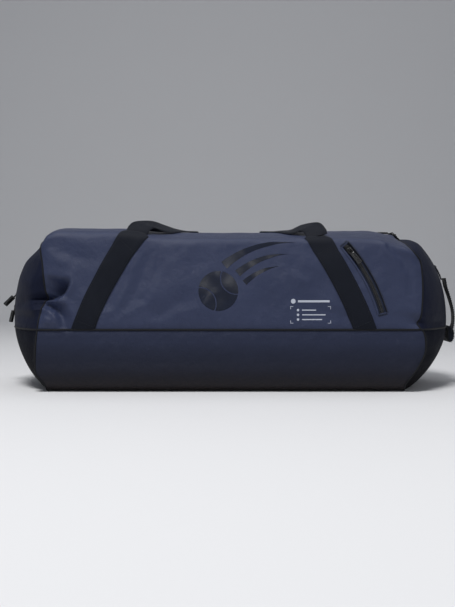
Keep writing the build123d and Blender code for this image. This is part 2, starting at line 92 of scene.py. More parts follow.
def unit(v):
    """Vectors at length one."""
    v = np.asarray(v, float)
    return v / np.maximum(np.linalg.norm(v, axis=-1, keepdims=True), 1e-9)


def stack(*columns):
    """Points from their coordinates, any of which may be one number for all."""
    return np.stack(np.broadcast_arrays(*columns), -1)


def circle(n):
    return np.linspace(0, 2 * math.pi, n, endpoint=False)


def stations(lo, hi, step):
    return np.linspace(lo, hi, max(2, int(round((hi - lo) / step)) + 1))


def arc(p0, p1, p2, n):
    """Points on the circle through three points."""
    (ax, ay), (bx, by), (cx, cy) = p0, p1, p2
    a2, b2, c2 = ax**2 + ay**2, bx**2 + by**2, cx**2 + cy**2
    d = 2 * (ax * (by - cy) + bx * (cy - ay) + cx * (ay - by))
    ux = (a2 * (by - cy) + b2 * (cy - ay) + c2 * (ay - by)) / d
    uy = (a2 * (cx - bx) + b2 * (ax - cx) + c2 * (bx - ax)) / d
    first, middle, last = (math.atan2(y - uy, x - ux) for x, y in (p0, p1, p2))
    if not min(first, last) < middle < max(first, last):
        last += 2 * math.pi if last < first else -2 * math.pi
    r = math.hypot(ax - ux, ay - uy)
    return [(ux + r * math.cos(a), uy + r * math.sin(a)) for a in np.linspace(first, last, n)]


def along(points):
    """Distance along a polyline at each of its points."""
    step = np.linalg.norm(np.diff(points, axis=0), axis=1)
    return np.concatenate([[0], np.cumsum(step)])


def rows_at(at, d, rows):
    """What the rows hold at distances along their line."""
    return np.stack([np.interp(at, d, column) for column in np.transpose(rows)], -1)


def resample(points, n):
    d = along(points)
    return rows_at(np.linspace(0, d[-1], n), d, points)


def soften(points, width):
    """Rounds a dense, evenly spaced polyline with a bell of the given width in millimetres."""
    step = along(points)[-1] / (len(points) - 1)
    k = max(1, int(3 * width / step))
    w = np.exp(-0.5 * (np.arange(-k, k + 1) * step / width) ** 2)
    w /= w.sum()
    first, last = points[0], points[-1]
    padded = np.concatenate([2 * first - points[k:0:-1], points, 2 * last - points[-2 : -k - 2 : -1]])
    out = np.stack([np.convolve(column, w, "valid") for column in padded.T], 1)
    out[0], out[-1] = first, last
    return out


def catmull(keys, n):
    """A smooth curve through rows of numbers."""
    keys = np.asarray(keys, float)
    p = np.concatenate([[2 * keys[0] - keys[1]], keys, [2 * keys[-1] - keys[-2]]])
    out = []
    for t in np.linspace(0, len(keys) - 1, n):
        i = min(int(t), len(keys) - 2)
        f = t - i
        a, b, c, d = p[i : i + 4]
        cubic = (3 * b - a - 3 * c + d) * f**3
        out.append(0.5 * (2 * b + (c - a) * f + (2 * a - 5 * b + 4 * c - d) * f**2 + cubic))
    return np.array(out)


def ripple(x, y, scale, seed):
    """Smooth wandering between about -1 and 1."""
    r = np.random.default_rng(seed)
    total = np.zeros(np.broadcast(x, y).shape)
    for _ in range(7):
        a, f, ph = r.uniform(0, 2 * math.pi), r.uniform(0.6, 1.7), r.uniform(0, 2 * math.pi)
        total = total + np.sin((x * math.cos(a) + y * math.sin(a)) * f * 2 * math.pi / scale + ph)
    return total / 3.2


# ------------------------------------------------------------------ the bag's soft form
def half_section():
    """The cross section from the middle of the base up the wall to the crown, as (y, z)."""
    foot = (127.0, 0.0)
    line = [(0.0, 0.0), foot]
    line += arc(foot, (153.8, 10.5), (BELLY_Y - 3, 48.0), 16)
    line += [(BELLY_Y, BOOT_Z), SHOULDER]
    line += arc(SHOULDER, (80.0, CROWN - 6.6), (0.0, CROWN), 24)[1:]
    return resample(soften(resample(line, 700), 6.0), 700)


SECTION = half_section()
SECTION_S = along(SECTION)
S_MAX = SECTION_S[-1]
CROWN_PART = SECTION[:, 1] > SHOULDER[1] - 30
WALL_PART = (SECTION[:, 1] > 30) & (SECTION[:, 0] > FOLD_Y - 4)


def section(s):
    """The cross section's y and z at a distance along it."""
    return np.interp(s, SECTION_S, SECTION[:, 0]), np.interp(s, SECTION_S, SECTION[:, 1])


def s_at_z(z):
    """Where on the wall a height is."""
    return np.interp(z, SECTION[WALL_PART, 1], SECTION_S[WALL_PART])


def s_at_y(y):
    """Where on the top a distance from the crown line is."""
    return np.interp(-np.abs(y), -SECTION[CROWN_PART, 0], SECTION_S[CROWN_PART])


S_BOOT = float(np.interp(BOOT_Z, SECTION[:400, 1], SECTION_S[:400]))
S_FOLD = float(s_at_y(FOLD_Y))
S_ZIP = float(s_at_y(ZIP_HALF))

CREASES = (  # on the front: points (x, z), depth, width on the left of its way, and on its right
    (((-319, 152), (-304, 148), (-292, 141), (-284, 129), (-281, 114)), 13.0, 7.5, 4.0),
    (((-318, 140), (-330, 120), (-336, 96)), 5.0, 10.0, 10.0),
    (((322, 122), (306, 124), (292, 131)), 4.5, 9.0, 6.0),
    (((276, 252), (290, 236), (300, 205), (302, 170)), 4.5, 12.0, 5.0),
    (((312, 240), (318, 220), (319, 190)), 3.0, 6.0, 6.0),
    (((-208, 150), (-190, 186), (-168, 236)), 3.2, 12.0, 6.0),
    (((-176, 146), (-156, 186), (-138, 240)), 3.0, 12.0, 6.0),
    (((-150, 160), (-132, 196), (-120, 240)), 2.6, 12.0, 6.0),
    (((-120, 132), (-96, 150), (-60, 158)), 2.0, 12.0, 7.0),
    (((196, 128), (160, 140), (130, 160)), 1.8, 12.0, 7.0),
    (((-290, 236), (-262, 226), (-230, 222)), 2.4, 12.0, 7.0),
    (((108, 214), (140, 196), (160, 168)), 2.0, 10.0, 6.0),
)
HOLLOWS = (  # on the front: centre (x, z), radii, turn in degrees, depth
    ((-301, 155), (17, 4.5), -4, -4.5),
    ((-305, 123), (13, 9), -30, -4.0),
    ((-275, 182), (9, 20), -10, -3.5),
    ((-318, 163), (9, 8), 0, 3.0),
    ((324, 120), (7, 6), 0, 6.0),
)
# the cloth sucked in at the left: centre (x, z) of its slope, reach, depth
TUCK = (-316.0, 201.0, 40.0, 27.0)
# how far each end seam wanders from a straight line: heights, and the shift at each, by end and side
SEAM_SHIFT = {
    (-1, -1): (
        (0, 12, 26, 40, 69, 115, 150, 163, 178, 223, 244, 262, 278, 290),
        (2, 1, -9, -14, -14, -10, -3, 4, 0, -4, -7, -8, -3, 0),
    ),
    (1, -1): (
        (0, 13, 28, 45, 69, 98, 112, 119, 130, 175, 223, 244, 262, 290),
        (-16, -18, -8, 4, 15, 14, 5, 2, 8, 12, 11, 7, -4, -8),
    ),
    (-1, 1): ((0, 40, 80, 130, 180, 230, 290), (2, -8, -10, -7, -3, -5, 0)),
    (1, 1): ((0, 40, 80, 130, 180, 230, 290), (-4, 7, 11, 6, 8, 5, -4)),
}
SEAM_CURVE = {key: catmull(np.transpose(rows), 90) for key, rows in SEAM_SHIFT.items()}


def seam_shift(x, z, side):
    """Sideways shift of the cloth near an end seam."""
    total = np.zeros(np.broadcast(x, z).shape)
    for end, _ in ENDS:
        heights, shifts = SEAM_CURVE[(end, side)].T
        total = total + np.interp(z, heights, shifts) * smooth(262, SEAM_X, end * x)
    return total


def hollow(x, z, centre, radii, turn, depth):
    """A dished spot in the cloth."""
    c, w = math.cos(math.radians(turn)), math.sin(math.radians(turn))
    dx, dz = x - centre[0], z - centre[1]
    return depth * np.exp(-(((dx * c + dz * w) / radii[0]) ** 2) - ((dz * c - dx * w) / radii[1]) ** 2)


def crease(x, z, points, depth, left, right):
    """How far a pulled-in crease lowers the cloth at (x, z): sharp floor, soft lips."""
    pts = np.asarray(points, float)
    d = along(pts)
    best = np.full(np.shape(x), 1e9)
    share, hand = np.zeros(np.shape(x)), np.ones(np.shape(x))
    for a, b, start in zip(pts[:-1], pts[1:], d):
        ab = b - a
        length = np.hypot(*ab)
        t = np.clip(((x - a[0]) * ab[0] + (z - a[1]) * ab[1]) / length**2, 0, 1)
        away = np.hypot(x - a[0] - t * ab[0], z - a[1] - t * ab[1])
        near = away < best
        best = np.where(near, away, best)
        share = np.where(near, (start + t * length) / d[-1], share)
        hand = np.where(near, np.sign(ab[0] * (z - a[1]) - ab[1] * (x - a[0])), hand)
    fade = np.sin(np.clip(0.12 + 0.88 * (1 - share), 0, 1) * math.pi * 0.5) ** 0.7
    q = best / np.where(hand > 0, left, right)
    return depth * fade * (np.exp(-1.6 * q) * (1 + 1.6 * q) - 0.32 * np.exp(-((q - 2.2) ** 2)))


def tuck(x, z):
    """A slope that falls away from its centre, down and to the right, and ends at a sharp curved lip."""
    cx, cz, reach, depth = TUCK
    r = np.hypot(x - cx, z - cz)
    turn = np.degrees(np.arctan2(z - cz, x - cx))
    window = smooth(-4, -38, turn) * smooth(-150, -112, turn)
    window = window * (0.55 + 0.45 * smooth(-322, -308, x))
    return depth * window * np.clip(r / reach, 0, 1) ** 1.2 * (1 - smooth(reach - 1, reach + 7.5, r))


def swell(x, s, side):
    """How far the cloth stands out of the plain form along its normal, and how much it drops."""
    x, s = np.broadcast_arrays(np.asarray(x, float), np.asarray(s, float))
    y, z = section(s)
    inward = np.clip(1 - (np.abs(x) / SEAM_X) ** 6, 0, 1)
    wall = np.clip((s - S_BOOT) / (S_FOLD - S_BOOT), 0, 1)
    boot = np.clip((s - 128) / (S_BOOT - 128), 0, 1)
    out = 3.6 * np.sin(math.pi * wall) * inward
    out = out + 2.4 * np.sin(math.pi * boot) * (0.4 + 0.6 * inward)
    # drawn in at the base seam and at the end seams, and gathered along the base seam
    out = out - 1.6 * bump(s, S_BOOT, 7) - 2.0 * bump(np.abs(x), SEAM_X, 7) * smooth(20, 60, z)
    out = out + 0.35 * np.sin(x / 4.4 + np.sin(x / 37) * 2) * bump(s, S_BOOT + 9, 8)
    on_wall = smooth(S_BOOT, S_BOOT + 40, s) * (1 - smooth(S_FOLD - 25, S_FOLD, s))
    for scale, seed, height, where in (
        (260, 11, 1.6, on_wall),
        (90, 21, 0.8, on_wall),
        (34, 23, 0.16, smooth(128, 180, s)),
        (70, 31, 0.35, smooth(S_FOLD + 15, S_FOLD + 45, s)),
    ):
        out = out + ripple(x, s, scale, seed + side) * height * where
    if side < 0:
        out = out - sum(crease(x, z, *line) for line in CREASES)
        out = out - sum(hollow(x, z, *spot) for spot in HOLLOWS)
        out = out - tuck(x, z)
    top = smooth(SHOULDER[1] - 75, SHOULDER[1], z)
    drop = 7.5 * np.exp(-((x / 150) ** 2)) * (1 - smooth(42, 100, y)) * top
    # the lying handle sinks into the cloth
    drop = drop + 2.2 * (1 - smooth(74, 104, np.abs(x))) * smooth(14, 24, y) * (1 - smooth(60, 72, y)) * top
    # full at the left, slack at the right, rounded at both end seams
    lift = np.interp(y, (0, 60, 100, FOLD_Y, 150), (1.0, 4.0, 8.5, 11.0, 9.0))
    drop = drop - lift * top * smooth(-110, -190, x)
    drop = drop + (9 * smooth(240, 300, x) + 10 * smooth(275, 330, x)) * top
    drop = drop + (15 * smooth(295, 328, -x) + 9 * smooth(311, 323, -x)) * smooth(190, 262, z)
    # along the zip the crown keeps one height, so that the slider can run
    zip_drop = 8.0 + 18 * smooth(303, 322, -x) + 7 * smooth(308, 319, x)
    drop = drop + (zip_drop - drop) * (1 - smooth(12, 45, y)) * top
    return out, drop


def crown_drop(x):
    """How far the crown line is under its plain height."""
    return swell(x, S_MAX, -1)[1]


def skin(x, s, side, lift=0.0):
    """The cloth's outer face raised by lift, as points and normals. side -1 is the front half, 1 the rear."""
    x, s, lift = np.broadcast_arrays(np.asarray(x, float), np.asarray(s, float), np.asarray(lift, float))

    def at(xx, ss):
        y, z = section(ss)
        (y0, z0), (y1, z1) = section(ss - 2.0), section(ss + 2.0)
        n = np.hypot(y1 - y0, z1 - z0)
        ny, nz = (z1 - z0) / n, (y0 - y1) / n
        out, drop = swell(xx, ss, side)
        return stack(xx + seam_shift(xx, z, side), side * (y + ny * out), z + nz * out - drop)

    dx = at(x + 1.5, s) - at(x - 1.5, s)
    ds = at(x, np.minimum(s + 1.5, S_MAX)) - at(x, np.maximum(s - 1.5, 0))
    n = unit(np.cross(dx, ds) * -side)
    return at(x, s) + n * lift[..., None], n


def end_reach(y, z, end=1):
    """How far out the end's dome is over a point of the cross section."""
    radius = np.where(z > END_CENTRE[1], END_R, END_FOOT_R)
    high = radius - np.sqrt(np.maximum(radius**2 - (z - END_CENTRE[1]) ** 2, 1))
    plan_r = (BELLY_Y**2 + 75.0**2) / 150.0
    wide = plan_r - np.sqrt(np.maximum(plan_r**2 - y**2, 1))
    p = 1.25
    return APEX_X - ((high * (1.15 if end > 0 else 1.0)) ** p + wide**p) ** (1 / p)


def end_arc(a, r, y=0.0):
    """Points on the left end's middle line, or beside it."""
    return stack(-END_CENTRE[0] - r * np.cos(a), y, END_CENTRE[1] + r * np.sin(a))


def round_section(end_x, n, lift=0.0):
    """Points of the skin all the way round the section, front half first."""
    u = np.linspace(0, 2 * S_MAX, n, endpoint=False)
    front = u < S_MAX
    halves = ((-1, u[front]), (1, 2 * S_MAX - u[~front]))
    return np.concatenate([skin(end_x, s, side, lift)[0] for side, s in halves])


def end_rings(end, n_ring, n_in):
    """Points of an end's dome: rings from the seam to the middle."""
    rings = np.zeros((n_in, n_ring, 3))
    lead = 14
    for k, (x, y, z) in enumerate(round_section(end * SEAM_X, n_ring)):
        rho = np.concatenate([np.ones(lead), np.linspace(1, 0, 90)[1:]])
        yy, zz = rho * y, END_CENTRE[1] + rho * (z - END_CENTRE[1])
        xx = end_reach(yy, np.clip(zz, 0.0, CROWN), end)
        xx[:lead] = np.linspace(abs(x), max(xx[lead], abs(x) + 2), lead)
        line = soften(resample(stack(np.maximum.accumulate(xx), yy, zz), 140), 6.0)
        d = along(line)
        rings[:, k] = rows_at(np.linspace(0, 1, n_in) ** 1.15 * d[-1], d, line)
    rings[..., 0] *= end
    return rings


END_FOLDS = {  # across an end's front: how far out, height, how fast it runs down going out, width
    -1: ((-6.0, 161, 0.3, 13), (3.5, 190, 0, 14), (-4.5, 128, 0, 8), (2.5, 142, 0, 7)),
    1: ((-4.5, 118, 0, 9), (-3.0, 66, 0, 8), (1.5, 92, 0, 12)),
}


def end_folds(p, end):
    """Creases and slackness on an end, moved along x."""
    x, y, z = p.T
    push = ripple(y, z, 210, 41 + end) * 1.6 + ripple(y, z, 80, 43 + end) * 0.5
    for depth, height, slope, width in END_FOLDS[end]:
        push = push + depth * smooth(40, 120, -y) * bump(z, height - slope * (np.abs(x) - 330), width)
    if end < 0:
        push = push - 9.0 * smooth(222, 252, z)
    return stack(x + end * push * smooth(SEAM_X + 1, SEAM_X + 14, np.abs(x)), y, z)


# ------------------------------------------------------------------ meshes
def finish_normals(obj, angle=50):
    """Outward faces, smooth but for edges sharper than the angle."""
    bm = bmesh.new()
    bm.from_mesh(obj.data)
    bmesh.ops.remove_doubles(bm, verts=bm.verts, dist=1e-7)
    bmesh.ops.recalc_face_normals(bm, faces=bm.faces)
    for f in bm.faces:
        f.smooth = True
    limit = math.radians(angle)
    for e in bm.edges:
        e.smooth = len(e.link_faces) == 2 and e.calc_face_angle(0) < limit
    bm.to_mesh(obj.data)
    bm.free()


def link_mesh(name, mesh, finish=None):
    obj = bpy.data.objects.new(name, mesh)
    bpy.context.collection.objects.link(obj)
    if finish:
        mesh.materials.append(MATERIAL[finish])
    return obj


def mesh_object(name, verts, faces, finish=None, uvs=None, angle=50):
    """verts in millimetres. uvs: one (u, v) per vertex, in millimetres."""
    mesh = bpy.data.meshes.new(name)
    mesh.from_pydata((np.asarray(verts, float) * MM).tolist(), [], faces)
    if uvs is not None:
        layer = mesh.uv_layers.new(name="cloth")
        index = np.empty(len(mesh.loops), np.int32)
        mesh.loops.foreach_get("vertex_index", index)
        layer.data.foreach_set("uv", (np.asarray(uvs, np.float64)[index] * MM).ravel())
    mesh.validate()
    obj = link_mesh(name, mesh, finish)
    finish_normals(obj, angle)
    return obj


def grid_faces(rows, cols, offset=0, round_cols=False):
    faces = []
    for i in range(rows - 1):
        for j in range(cols if round_cols else cols - 1):
            a, b = offset + i * cols + j, offset + i * cols + (j + 1) % cols
            faces.append((a, b, b + cols, a + cols))
    return faces


def ringed(name, rings, finish=None, uvs=None, closed=False):
    """A skin over a row of rings of points, closed on itself or capped at both ends."""
    n, cols = rings.shape[:2]
    last = (n - 1) * cols
    faces = grid_faces(n, cols, round_cols=True)
    if closed:
        faces += [(last + j, last + (j + 1) % cols, (j + 1) % cols, j) for j in range(cols)]
    else:
        faces += [tuple(range(cols)), tuple(range(last, last + cols))]
    return mesh_object(name, rings.reshape(-1, 3), faces, finish, uvs)


def blocks(name, rings, finish, angle=50):
    """Many small closed blocks, each a few rings of points."""
    rings = np.asarray(rings)
    count, layers, sides = rings.shape[:3]
    faces = []
    for base in range(0, count * layers * sides, layers * sides):
        last = base + (layers - 1) * sides
        faces += grid_faces(layers, sides, base, round_cols=True)
        faces += [tuple(range(base, base + sides)), tuple(range(last, last + sides))]
    return mesh_object(name, rings.reshape(-1, 3), faces, finish, angle=angle)


def thicken(verts, faces, thick):
    """Gives a sheet an inner face and an edge. Returns verts, faces, and each face's kind, 0 to 2."""
    normal = np.zeros_like(verts)
    for f in faces:
        p = verts[list(f)]
        n = np.cross(p[2] - p[0], p[-1] - p[1]) if len(f) > 3 else np.cross(p[1] - p[0], p[2] - p[0])
        normal[list(f)] += n
    count = len(verts)
    edges = dict.fromkeys((a, b) for f in faces for a, b in zip(f, f[1:] + f[:1]))
    rim = [(a, b) for a, b in edges if (b, a) not in edges]
    out = list(faces) + [tuple(i + count for i in reversed(f)) for f in faces]
    out += [(b, a, a + count, b + count) for a, b in rim]
    kinds = [0] * len(faces) + [1] * len(faces) + [2] * len(rim)
    return np.concatenate([verts, verts - unit(normal) * thick]), out, kinds


def cloth_piece(name, verts, faces, uvs, finish, thick=CLOTH):
    """A panel of cloth with its lining."""
    verts, faces, kinds = thicken(np.asarray(verts, float), faces, thick)
    obj = mesh_object(name, verts, faces, uvs=np.concatenate([uvs, uvs]))
    for m in (finish, "lining", finish):
        obj.data.materials.append(MATERIAL[m])
    if len(obj.data.polygons) == len(kinds):
        obj.data.polygons.foreach_set("material_index", kinds)
    return obj


def panel(name, xs, ss, side, finish):
    """A panel of the bag's body between stations along x and along the section."""
    X, S = np.meshgrid(xs, ss, indexing="ij")
    faces = grid_faces(len(xs), len(ss))
    if side < 0:
        faces = [f[::-1] for f in faces]
    return cloth_piece(name, skin(X, S, side)[0].reshape(-1, 3), faces, stack(X, S).reshape(-1, 2), finish)


def frames(points, hints, closed=False):
    """Unit tangent, across and normal along a line, with normals close to the hints."""
    step = np.roll(points, -1, 0) - np.roll(points, 1, 0) if closed else np.gradient(points, axis=0)
    tangent = unit(step)
    hints = np.broadcast_to(np.asarray(hints, float), tangent.shape)
    normal = unit(hints - tangent * np.sum(hints * tangent, 1, keepdims=True))
    return tangent, np.cross(tangent, normal), normal


def tube(name, points, radius, finish, normals, sides=10, squash=1.0, closed=False):
    """A round or flattened cord along a line."""
    _, across, normal = frames(points, normals, closed)
    a = circle(sides)[:, None]
    size = np.broadcast_to(radius, len(points))[:, None, None]
    rings = points[:, None] + normal[:, None] * np.sin(a) * squash * size + across[:, None] * np.cos(a) * size
    uv = stack(along(points)[:, None], a[:, 0] * 2).reshape(-1, 2)
    return ringed(name, rings, finish, uv, closed)


def ribbon(name, centre, across, normal, width, thick, finish="webbing", columns=9):
    """Flat webbing along a line: centre, unit across and normal per station, one width or one for each."""
    k = np.linspace(-1, 1, columns)
    k = np.concatenate([k, k[::-1]])
    up = np.repeat([1, -1], columns)
    rise = up * (0.16 + 0.34 * np.sqrt(np.clip(1 - np.abs(k) ** 14, 0, 1))) * thick
    reach = k * np.broadcast_to(width, len(centre))[:, None] / 2
    rings = centre[:, None] + across[:, None] * reach[..., None] + normal[:, None] * rise[:, None]
    return ringed(name, rings, finish, stack(reach, along(centre)[:, None]).reshape(-1, 2))


def stitches(name, points, normals, length=3.0, gap=1.3, thick=0.42, finish="thread"):
    """A row of stitches along a line, each a small raised bead."""
    d = along(points)
    a = circle(6)[:, None]
    size, rise = (np.array(v)[:, None, None] * thick for v in ((0.55, 1.0, 0.55), (-0.3, 0.45, -0.3)))
    beads = []
    at = gap
    while at + length < d[-1]:
        stops = at + length * np.array([0, 0.5, 1])
        c, m = rows_at(stops, d, points), unit(rows_at(stops, d, normals))
        side = np.cross(unit(c[2] - c[0]), m)
        beads.append(c[:, None] + m[:, None] * (rise + np.sin(a) * size) + side[:, None] * np.cos(a) * size)
        at += length + gap
    return blocks(name, beads, finish)


def edge_stitches(name, centre, half_across, normal, shares, lift):
    """Stitches on webbing, at shares of its half width."""
    return [stitches(f"{name}_{q}", centre + half_across * q + normal * lift, normal) for q in shares]


def join(name, *objs):
    """Makes several meshes one piece."""
    bpy.ops.object.select_all(action="DESELECT")
    for o in objs:
        o.select_set(True)
    bpy.context.view_layer.objects.active = objs[0]
    bpy.ops.object.join()
    objs[0].name = name
    objs[0].data.name = name
    return objs[0]


def box_mesh(name, lo, hi, finish, bevel=0.0, place=None, segments=2):
    """A box between two corners in millimetres, bevelled, in a local frame if a place is given."""
    bm = bmesh.new()
    bmesh.ops.create_cube(bm, size=1)
    for v in bm.verts:
        v.co = Vector([(lo[k] if v.co[k] < 0 else hi[k]) * MM for k in range(3)])
    if bevel:
        size = {"offset": bevel * MM, "segments": segments, "profile": 0.5}
        bmesh.ops.bevel(bm, geom=bm.edges[:], affect="EDGES", **size)
    if place is not None:
        bm.transform(place)
    mesh = bpy.data.meshes.new(name)
    bm.to_mesh(mesh)
    bm.free()
    obj = link_mesh(name, mesh, finish)
    finish_normals(obj, 35)
    return obj


# ------------------------------------------------------------------ finishes
def put(tree, socket, value):
    """Links a shader output to a socket, or sets the socket's own value."""
    if isinstance(value, Value):
        tree.links.new(value.socket, socket)
    else:
        socket.default_value = value


class Value:
    """A shader output that can be added, multiplied and so on."""

    def __init__(self, tree, socket):
        self.tree, self.socket = tree, socket

    def op(self, kind, *others, swap=False, clamp=False):
        n = self.tree.nodes.new("ShaderNodeMath")
        n.operation = kind
        n.use_clamp = clamp
        for socket, part in zip(n.inputs, [*others, self] if swap else [self, *others]):
            put(self.tree, socket, part)
        return Value(self.tree, n.outputs[0])

    def __add__(self, o):
        return self.op("ADD", o)

    def __sub__(self, o):
        return self.op("SUBTRACT", o)

    def __rsub__(self, o):
        return self.op("SUBTRACT", o, swap=True)

    def __mul__(self, o):
        return self.op("MULTIPLY", o)

    def __truediv__(self, o):
        return self.op("DIVIDE", o)

    __radd__ = __add__

    def wave(self, length):
        """A sine of the given wavelength, 0 to 1."""
        return (self * (2 * math.pi / length)).op("SINE") * 0.5 + 0.5

    def odd(self):
        """0 and 1 by turns, with each whole number."""
        return self.op("FLOORED_MODULO", 2.0)


class Finish:
    """One material and the calls that add nodes to it."""

    def __init__(self, name):
        self.material = bpy.data.materials.new(name)
        self.material.use_nodes = True
        self.tree = self.material.node_tree
        self.shader = next(n for n in self.tree.nodes if n.type == "BSDF_PRINCIPLED")

    def node(self, kind, settings=(), out=0, **inputs):
        n = self.tree.nodes.new(kind)
        for key, value in dict(settings).items():
            setattr(n, key, value)
        for key, value in inputs.items():
            put(self.tree, n.inputs[int(key[1:])] if key[1:].isdigit() else n.inputs[key], value)
        return Value(self.tree, n.outputs[out])

    def split(self, vector):
        n = self.tree.nodes.new("ShaderNodeSeparateXYZ")
        self.tree.links.new(vector.socket, n.inputs[0])
        return [Value(self.tree, o) for o in n.outputs]

    def cloth_uv(self):
        return self.split(self.node("ShaderNodeUVMap", {"uv_map": "cloth"}))[:2]

    def place(self):
        return self.node("ShaderNodeTexCoord", out=3)

    def noise(self, scale, detail=3.0, rough=0.55):
        kind = "ShaderNodeTexNoise"
        return self.node(kind, Vector=self.place(), Scale=scale, Detail=detail, Roughness=rough)

    def patches(self, scale, detail, rough, level, gain):
        """0 to 1, where noise rises past a level."""
        return (self.noise(scale, detail, rough) - level).op("MULTIPLY", gain, clamp=True)

    def mix(self, factor, a, b):
        return self.node("ShaderNodeMix", {"data_type": "RGBA"}, out=2, i0=factor, i6=a, i7=b)

    def bumps(self, height, strength, distance, normal=None):
        more = {"Normal": normal} if normal else {}
        return self.node("ShaderNodeBump", Strength=strength, Distance=distance, Height=height, **more)

    def done(self, **values):
        for key, value in values.items():
            put(self.tree, self.shader.inputs[key.replace("_", " ")], value)
        return self.material


def colour(hex_text):
    """A colour in light, from its usual six-digit form."""
    parts = [int(hex_text[i : i + 2], 16) / 255 for i in (0, 2, 4)]
    return (*(c / 12.92 if c < 0.04045 else ((c + 0.055) / 1.055) ** 2.4 for c in parts), 1.0)


def weave(f, pitch):
    """Height of a plain weave, 0 to 1, in the cloth's own coordinates."""
    a, b = (way / pitch for way in f.cloth_uv())
    check = (a.op("FLOOR") + b.op("FLOOR")).odd()
    over, under = ((way * math.pi).op("SINE").op("ABSOLUTE") for way in (a, b))
    return check * over + (1.0 - check) * under


def coated_cloth(name, dark, light, pitch=0.0009, rough=0.5, shade_and_dust=0.0, shine=0.36, sheen=0.05):
    """Tightly woven, coated polyester: a fine weave under a soft sheen, uneven in tone."""
    f = Finish(name)
    height = weave(f, pitch)
    cloudy = f.noise(9.0, 4.0)
    fine = f.noise(900.0, 2.0)
    tone = f.mix(cloudy * 0.55 + height * 0.12 + fine * 0.12, colour(dark), colour(light))
    scuffs = f.patches(38.0, 6.0, 0.7, 0.58, 5.0)
    tone = f.mix(scuffs * 0.10, tone, colour("5A6072"))
    # painted shade: the colour darkens towards near-black over the lowest 85 mm, where the cloth curls under
    # out of the light; the brown specks lower down are real dust
    if shade_and_dust:
        low = (1.0 - f.split(f.place())[2] / 0.085).op("MULTIPLY", 1.0, clamp=True)
        tone = f.mix(low.op("POWER", 0.7) * 0.93, tone, colour("05060A"))
        specks = f.patches(420.0, 3.0, 0.7, 0.46, 4.0)
        tone = f.mix(low.op("POWER", 3.0) * (specks * 0.7 + 0.3) * shade_and_dust, tone, colour("6A5548"))
    normal = f.bumps(height, 0.45, 0.0003)
    normal = f.bumps(f.noise(46.0, 5.0, 0.6), 0.42, 0.0030, normal)
    crinkle = (f.noise(16.0, 4.0, 0.55) - 0.5).op("ABSOLUTE")
    return f.done(
        Base_Color=tone,
        Roughness=rough + (cloudy - 0.5) * 0.14 + scuffs * 0.08,
        Normal=f.bumps(crinkle, 0.5, 0.008, normal),
        Sheen_Weight=sheen,
        Sheen_Roughness=0.4,
        Specular_IOR_Level=shine,
    )


def webbing(name, dark, light, rough=0.72):
    """Ribbed polyester webbing: warp ribs along it, a fine herringbone across."""
    f = Finish(name)
    u, v = f.cloth_uv()
    way = ((u / 0.0042).op("FLOOR").odd() - 0.5) * 2.0
    height = u.wave(0.0021) * 0.55 + (v + u * way).wave(0.0015) * 0.45
    return f.done(
        Base_Color=f.mix(height * 0.6 + f.noise(60.0) * 0.3, colour(dark), colour(light)),
        Roughness=rough - height * 0.12,
        Normal=f.bumps(height, 0.55, 0.00032),
        Sheen_Weight=0.06,
        Sheen_Roughness=0.4,
        Specular_IOR_Level=0.16,
    )


def twill_tape(name, dark, light):
    """Zip tape and binding: a close diagonal twill."""
    f = Finish(name)
    u, v = f.cloth_uv()
    height = (u + v).wave(0.0011)
    return f.done(
        Base_Color=f.mix(height * 0.5 + f.noise(80.0) * 0.3, colour(dark), colour(light)),
        Roughness=0.78 - height * 0.08,
        Normal=f.bumps(height, 0.35, 0.0002),
        Sheen_Weight=0.05,
        Specular_IOR_Level=0.25,
    )


def moulded(name, hex_text, rough=0.35, metallic=0.0):
    """Moulded plastic or lacquered metal with slight handling marks."""
    f = Finish(name)
    marks = f.noise(260.0, 5.0, 0.7)
    base = colour(hex_text)
    lighter = (*(min(1.0, c + 0.03) for c in base[:3]), 1.0)
    return f.done(
        Base_Color=f.mix(marks, base, lighter),
        Roughness=rough + (marks - 0.5) * 0.18,
        Metallic=metallic,
        Normal=f.bumps(marks, 0.06, 0.0002),
        Coat_Weight=0.25,
        Coat_Roughness=0.2,
    )


def gloss_print(name, hex_text):
    """Thick transfer print: near-black, glossy, with fine cracks."""
    f = Finish(name)
    grain = f.noise(500.0, 3.0)
    cracks = f.patches(70.0, 6.0, 0.75, 0.62, 6.0)
    return f.done(
        Base_Color=f.mix(f.noise(20.0) * 0.6, colour(hex_text), colour("16223E")),
        Roughness=0.20 + grain * 0.05 + cracks * 0.10,
        Normal=f.bumps(f.noise(120.0, 3.0), 0.06, 0.0004),
        Coat_Weight=0.2,
        Coat_Roughness=0.16,
        Specular_IOR_Level=0.5,
    )


def ink(name, hex_text):
    f = Finish(name)
    thin = f.noise(700.0, 4.0, 0.7)
    return f.done(
        Base_Color=f.mix(thin * 0.5, colour(hex_text), colour("8A90A0")),
        Roughness=0.5 + thin * 0.15,
        Normal=f.bumps(thin, 0.1, 0.0001),
    )


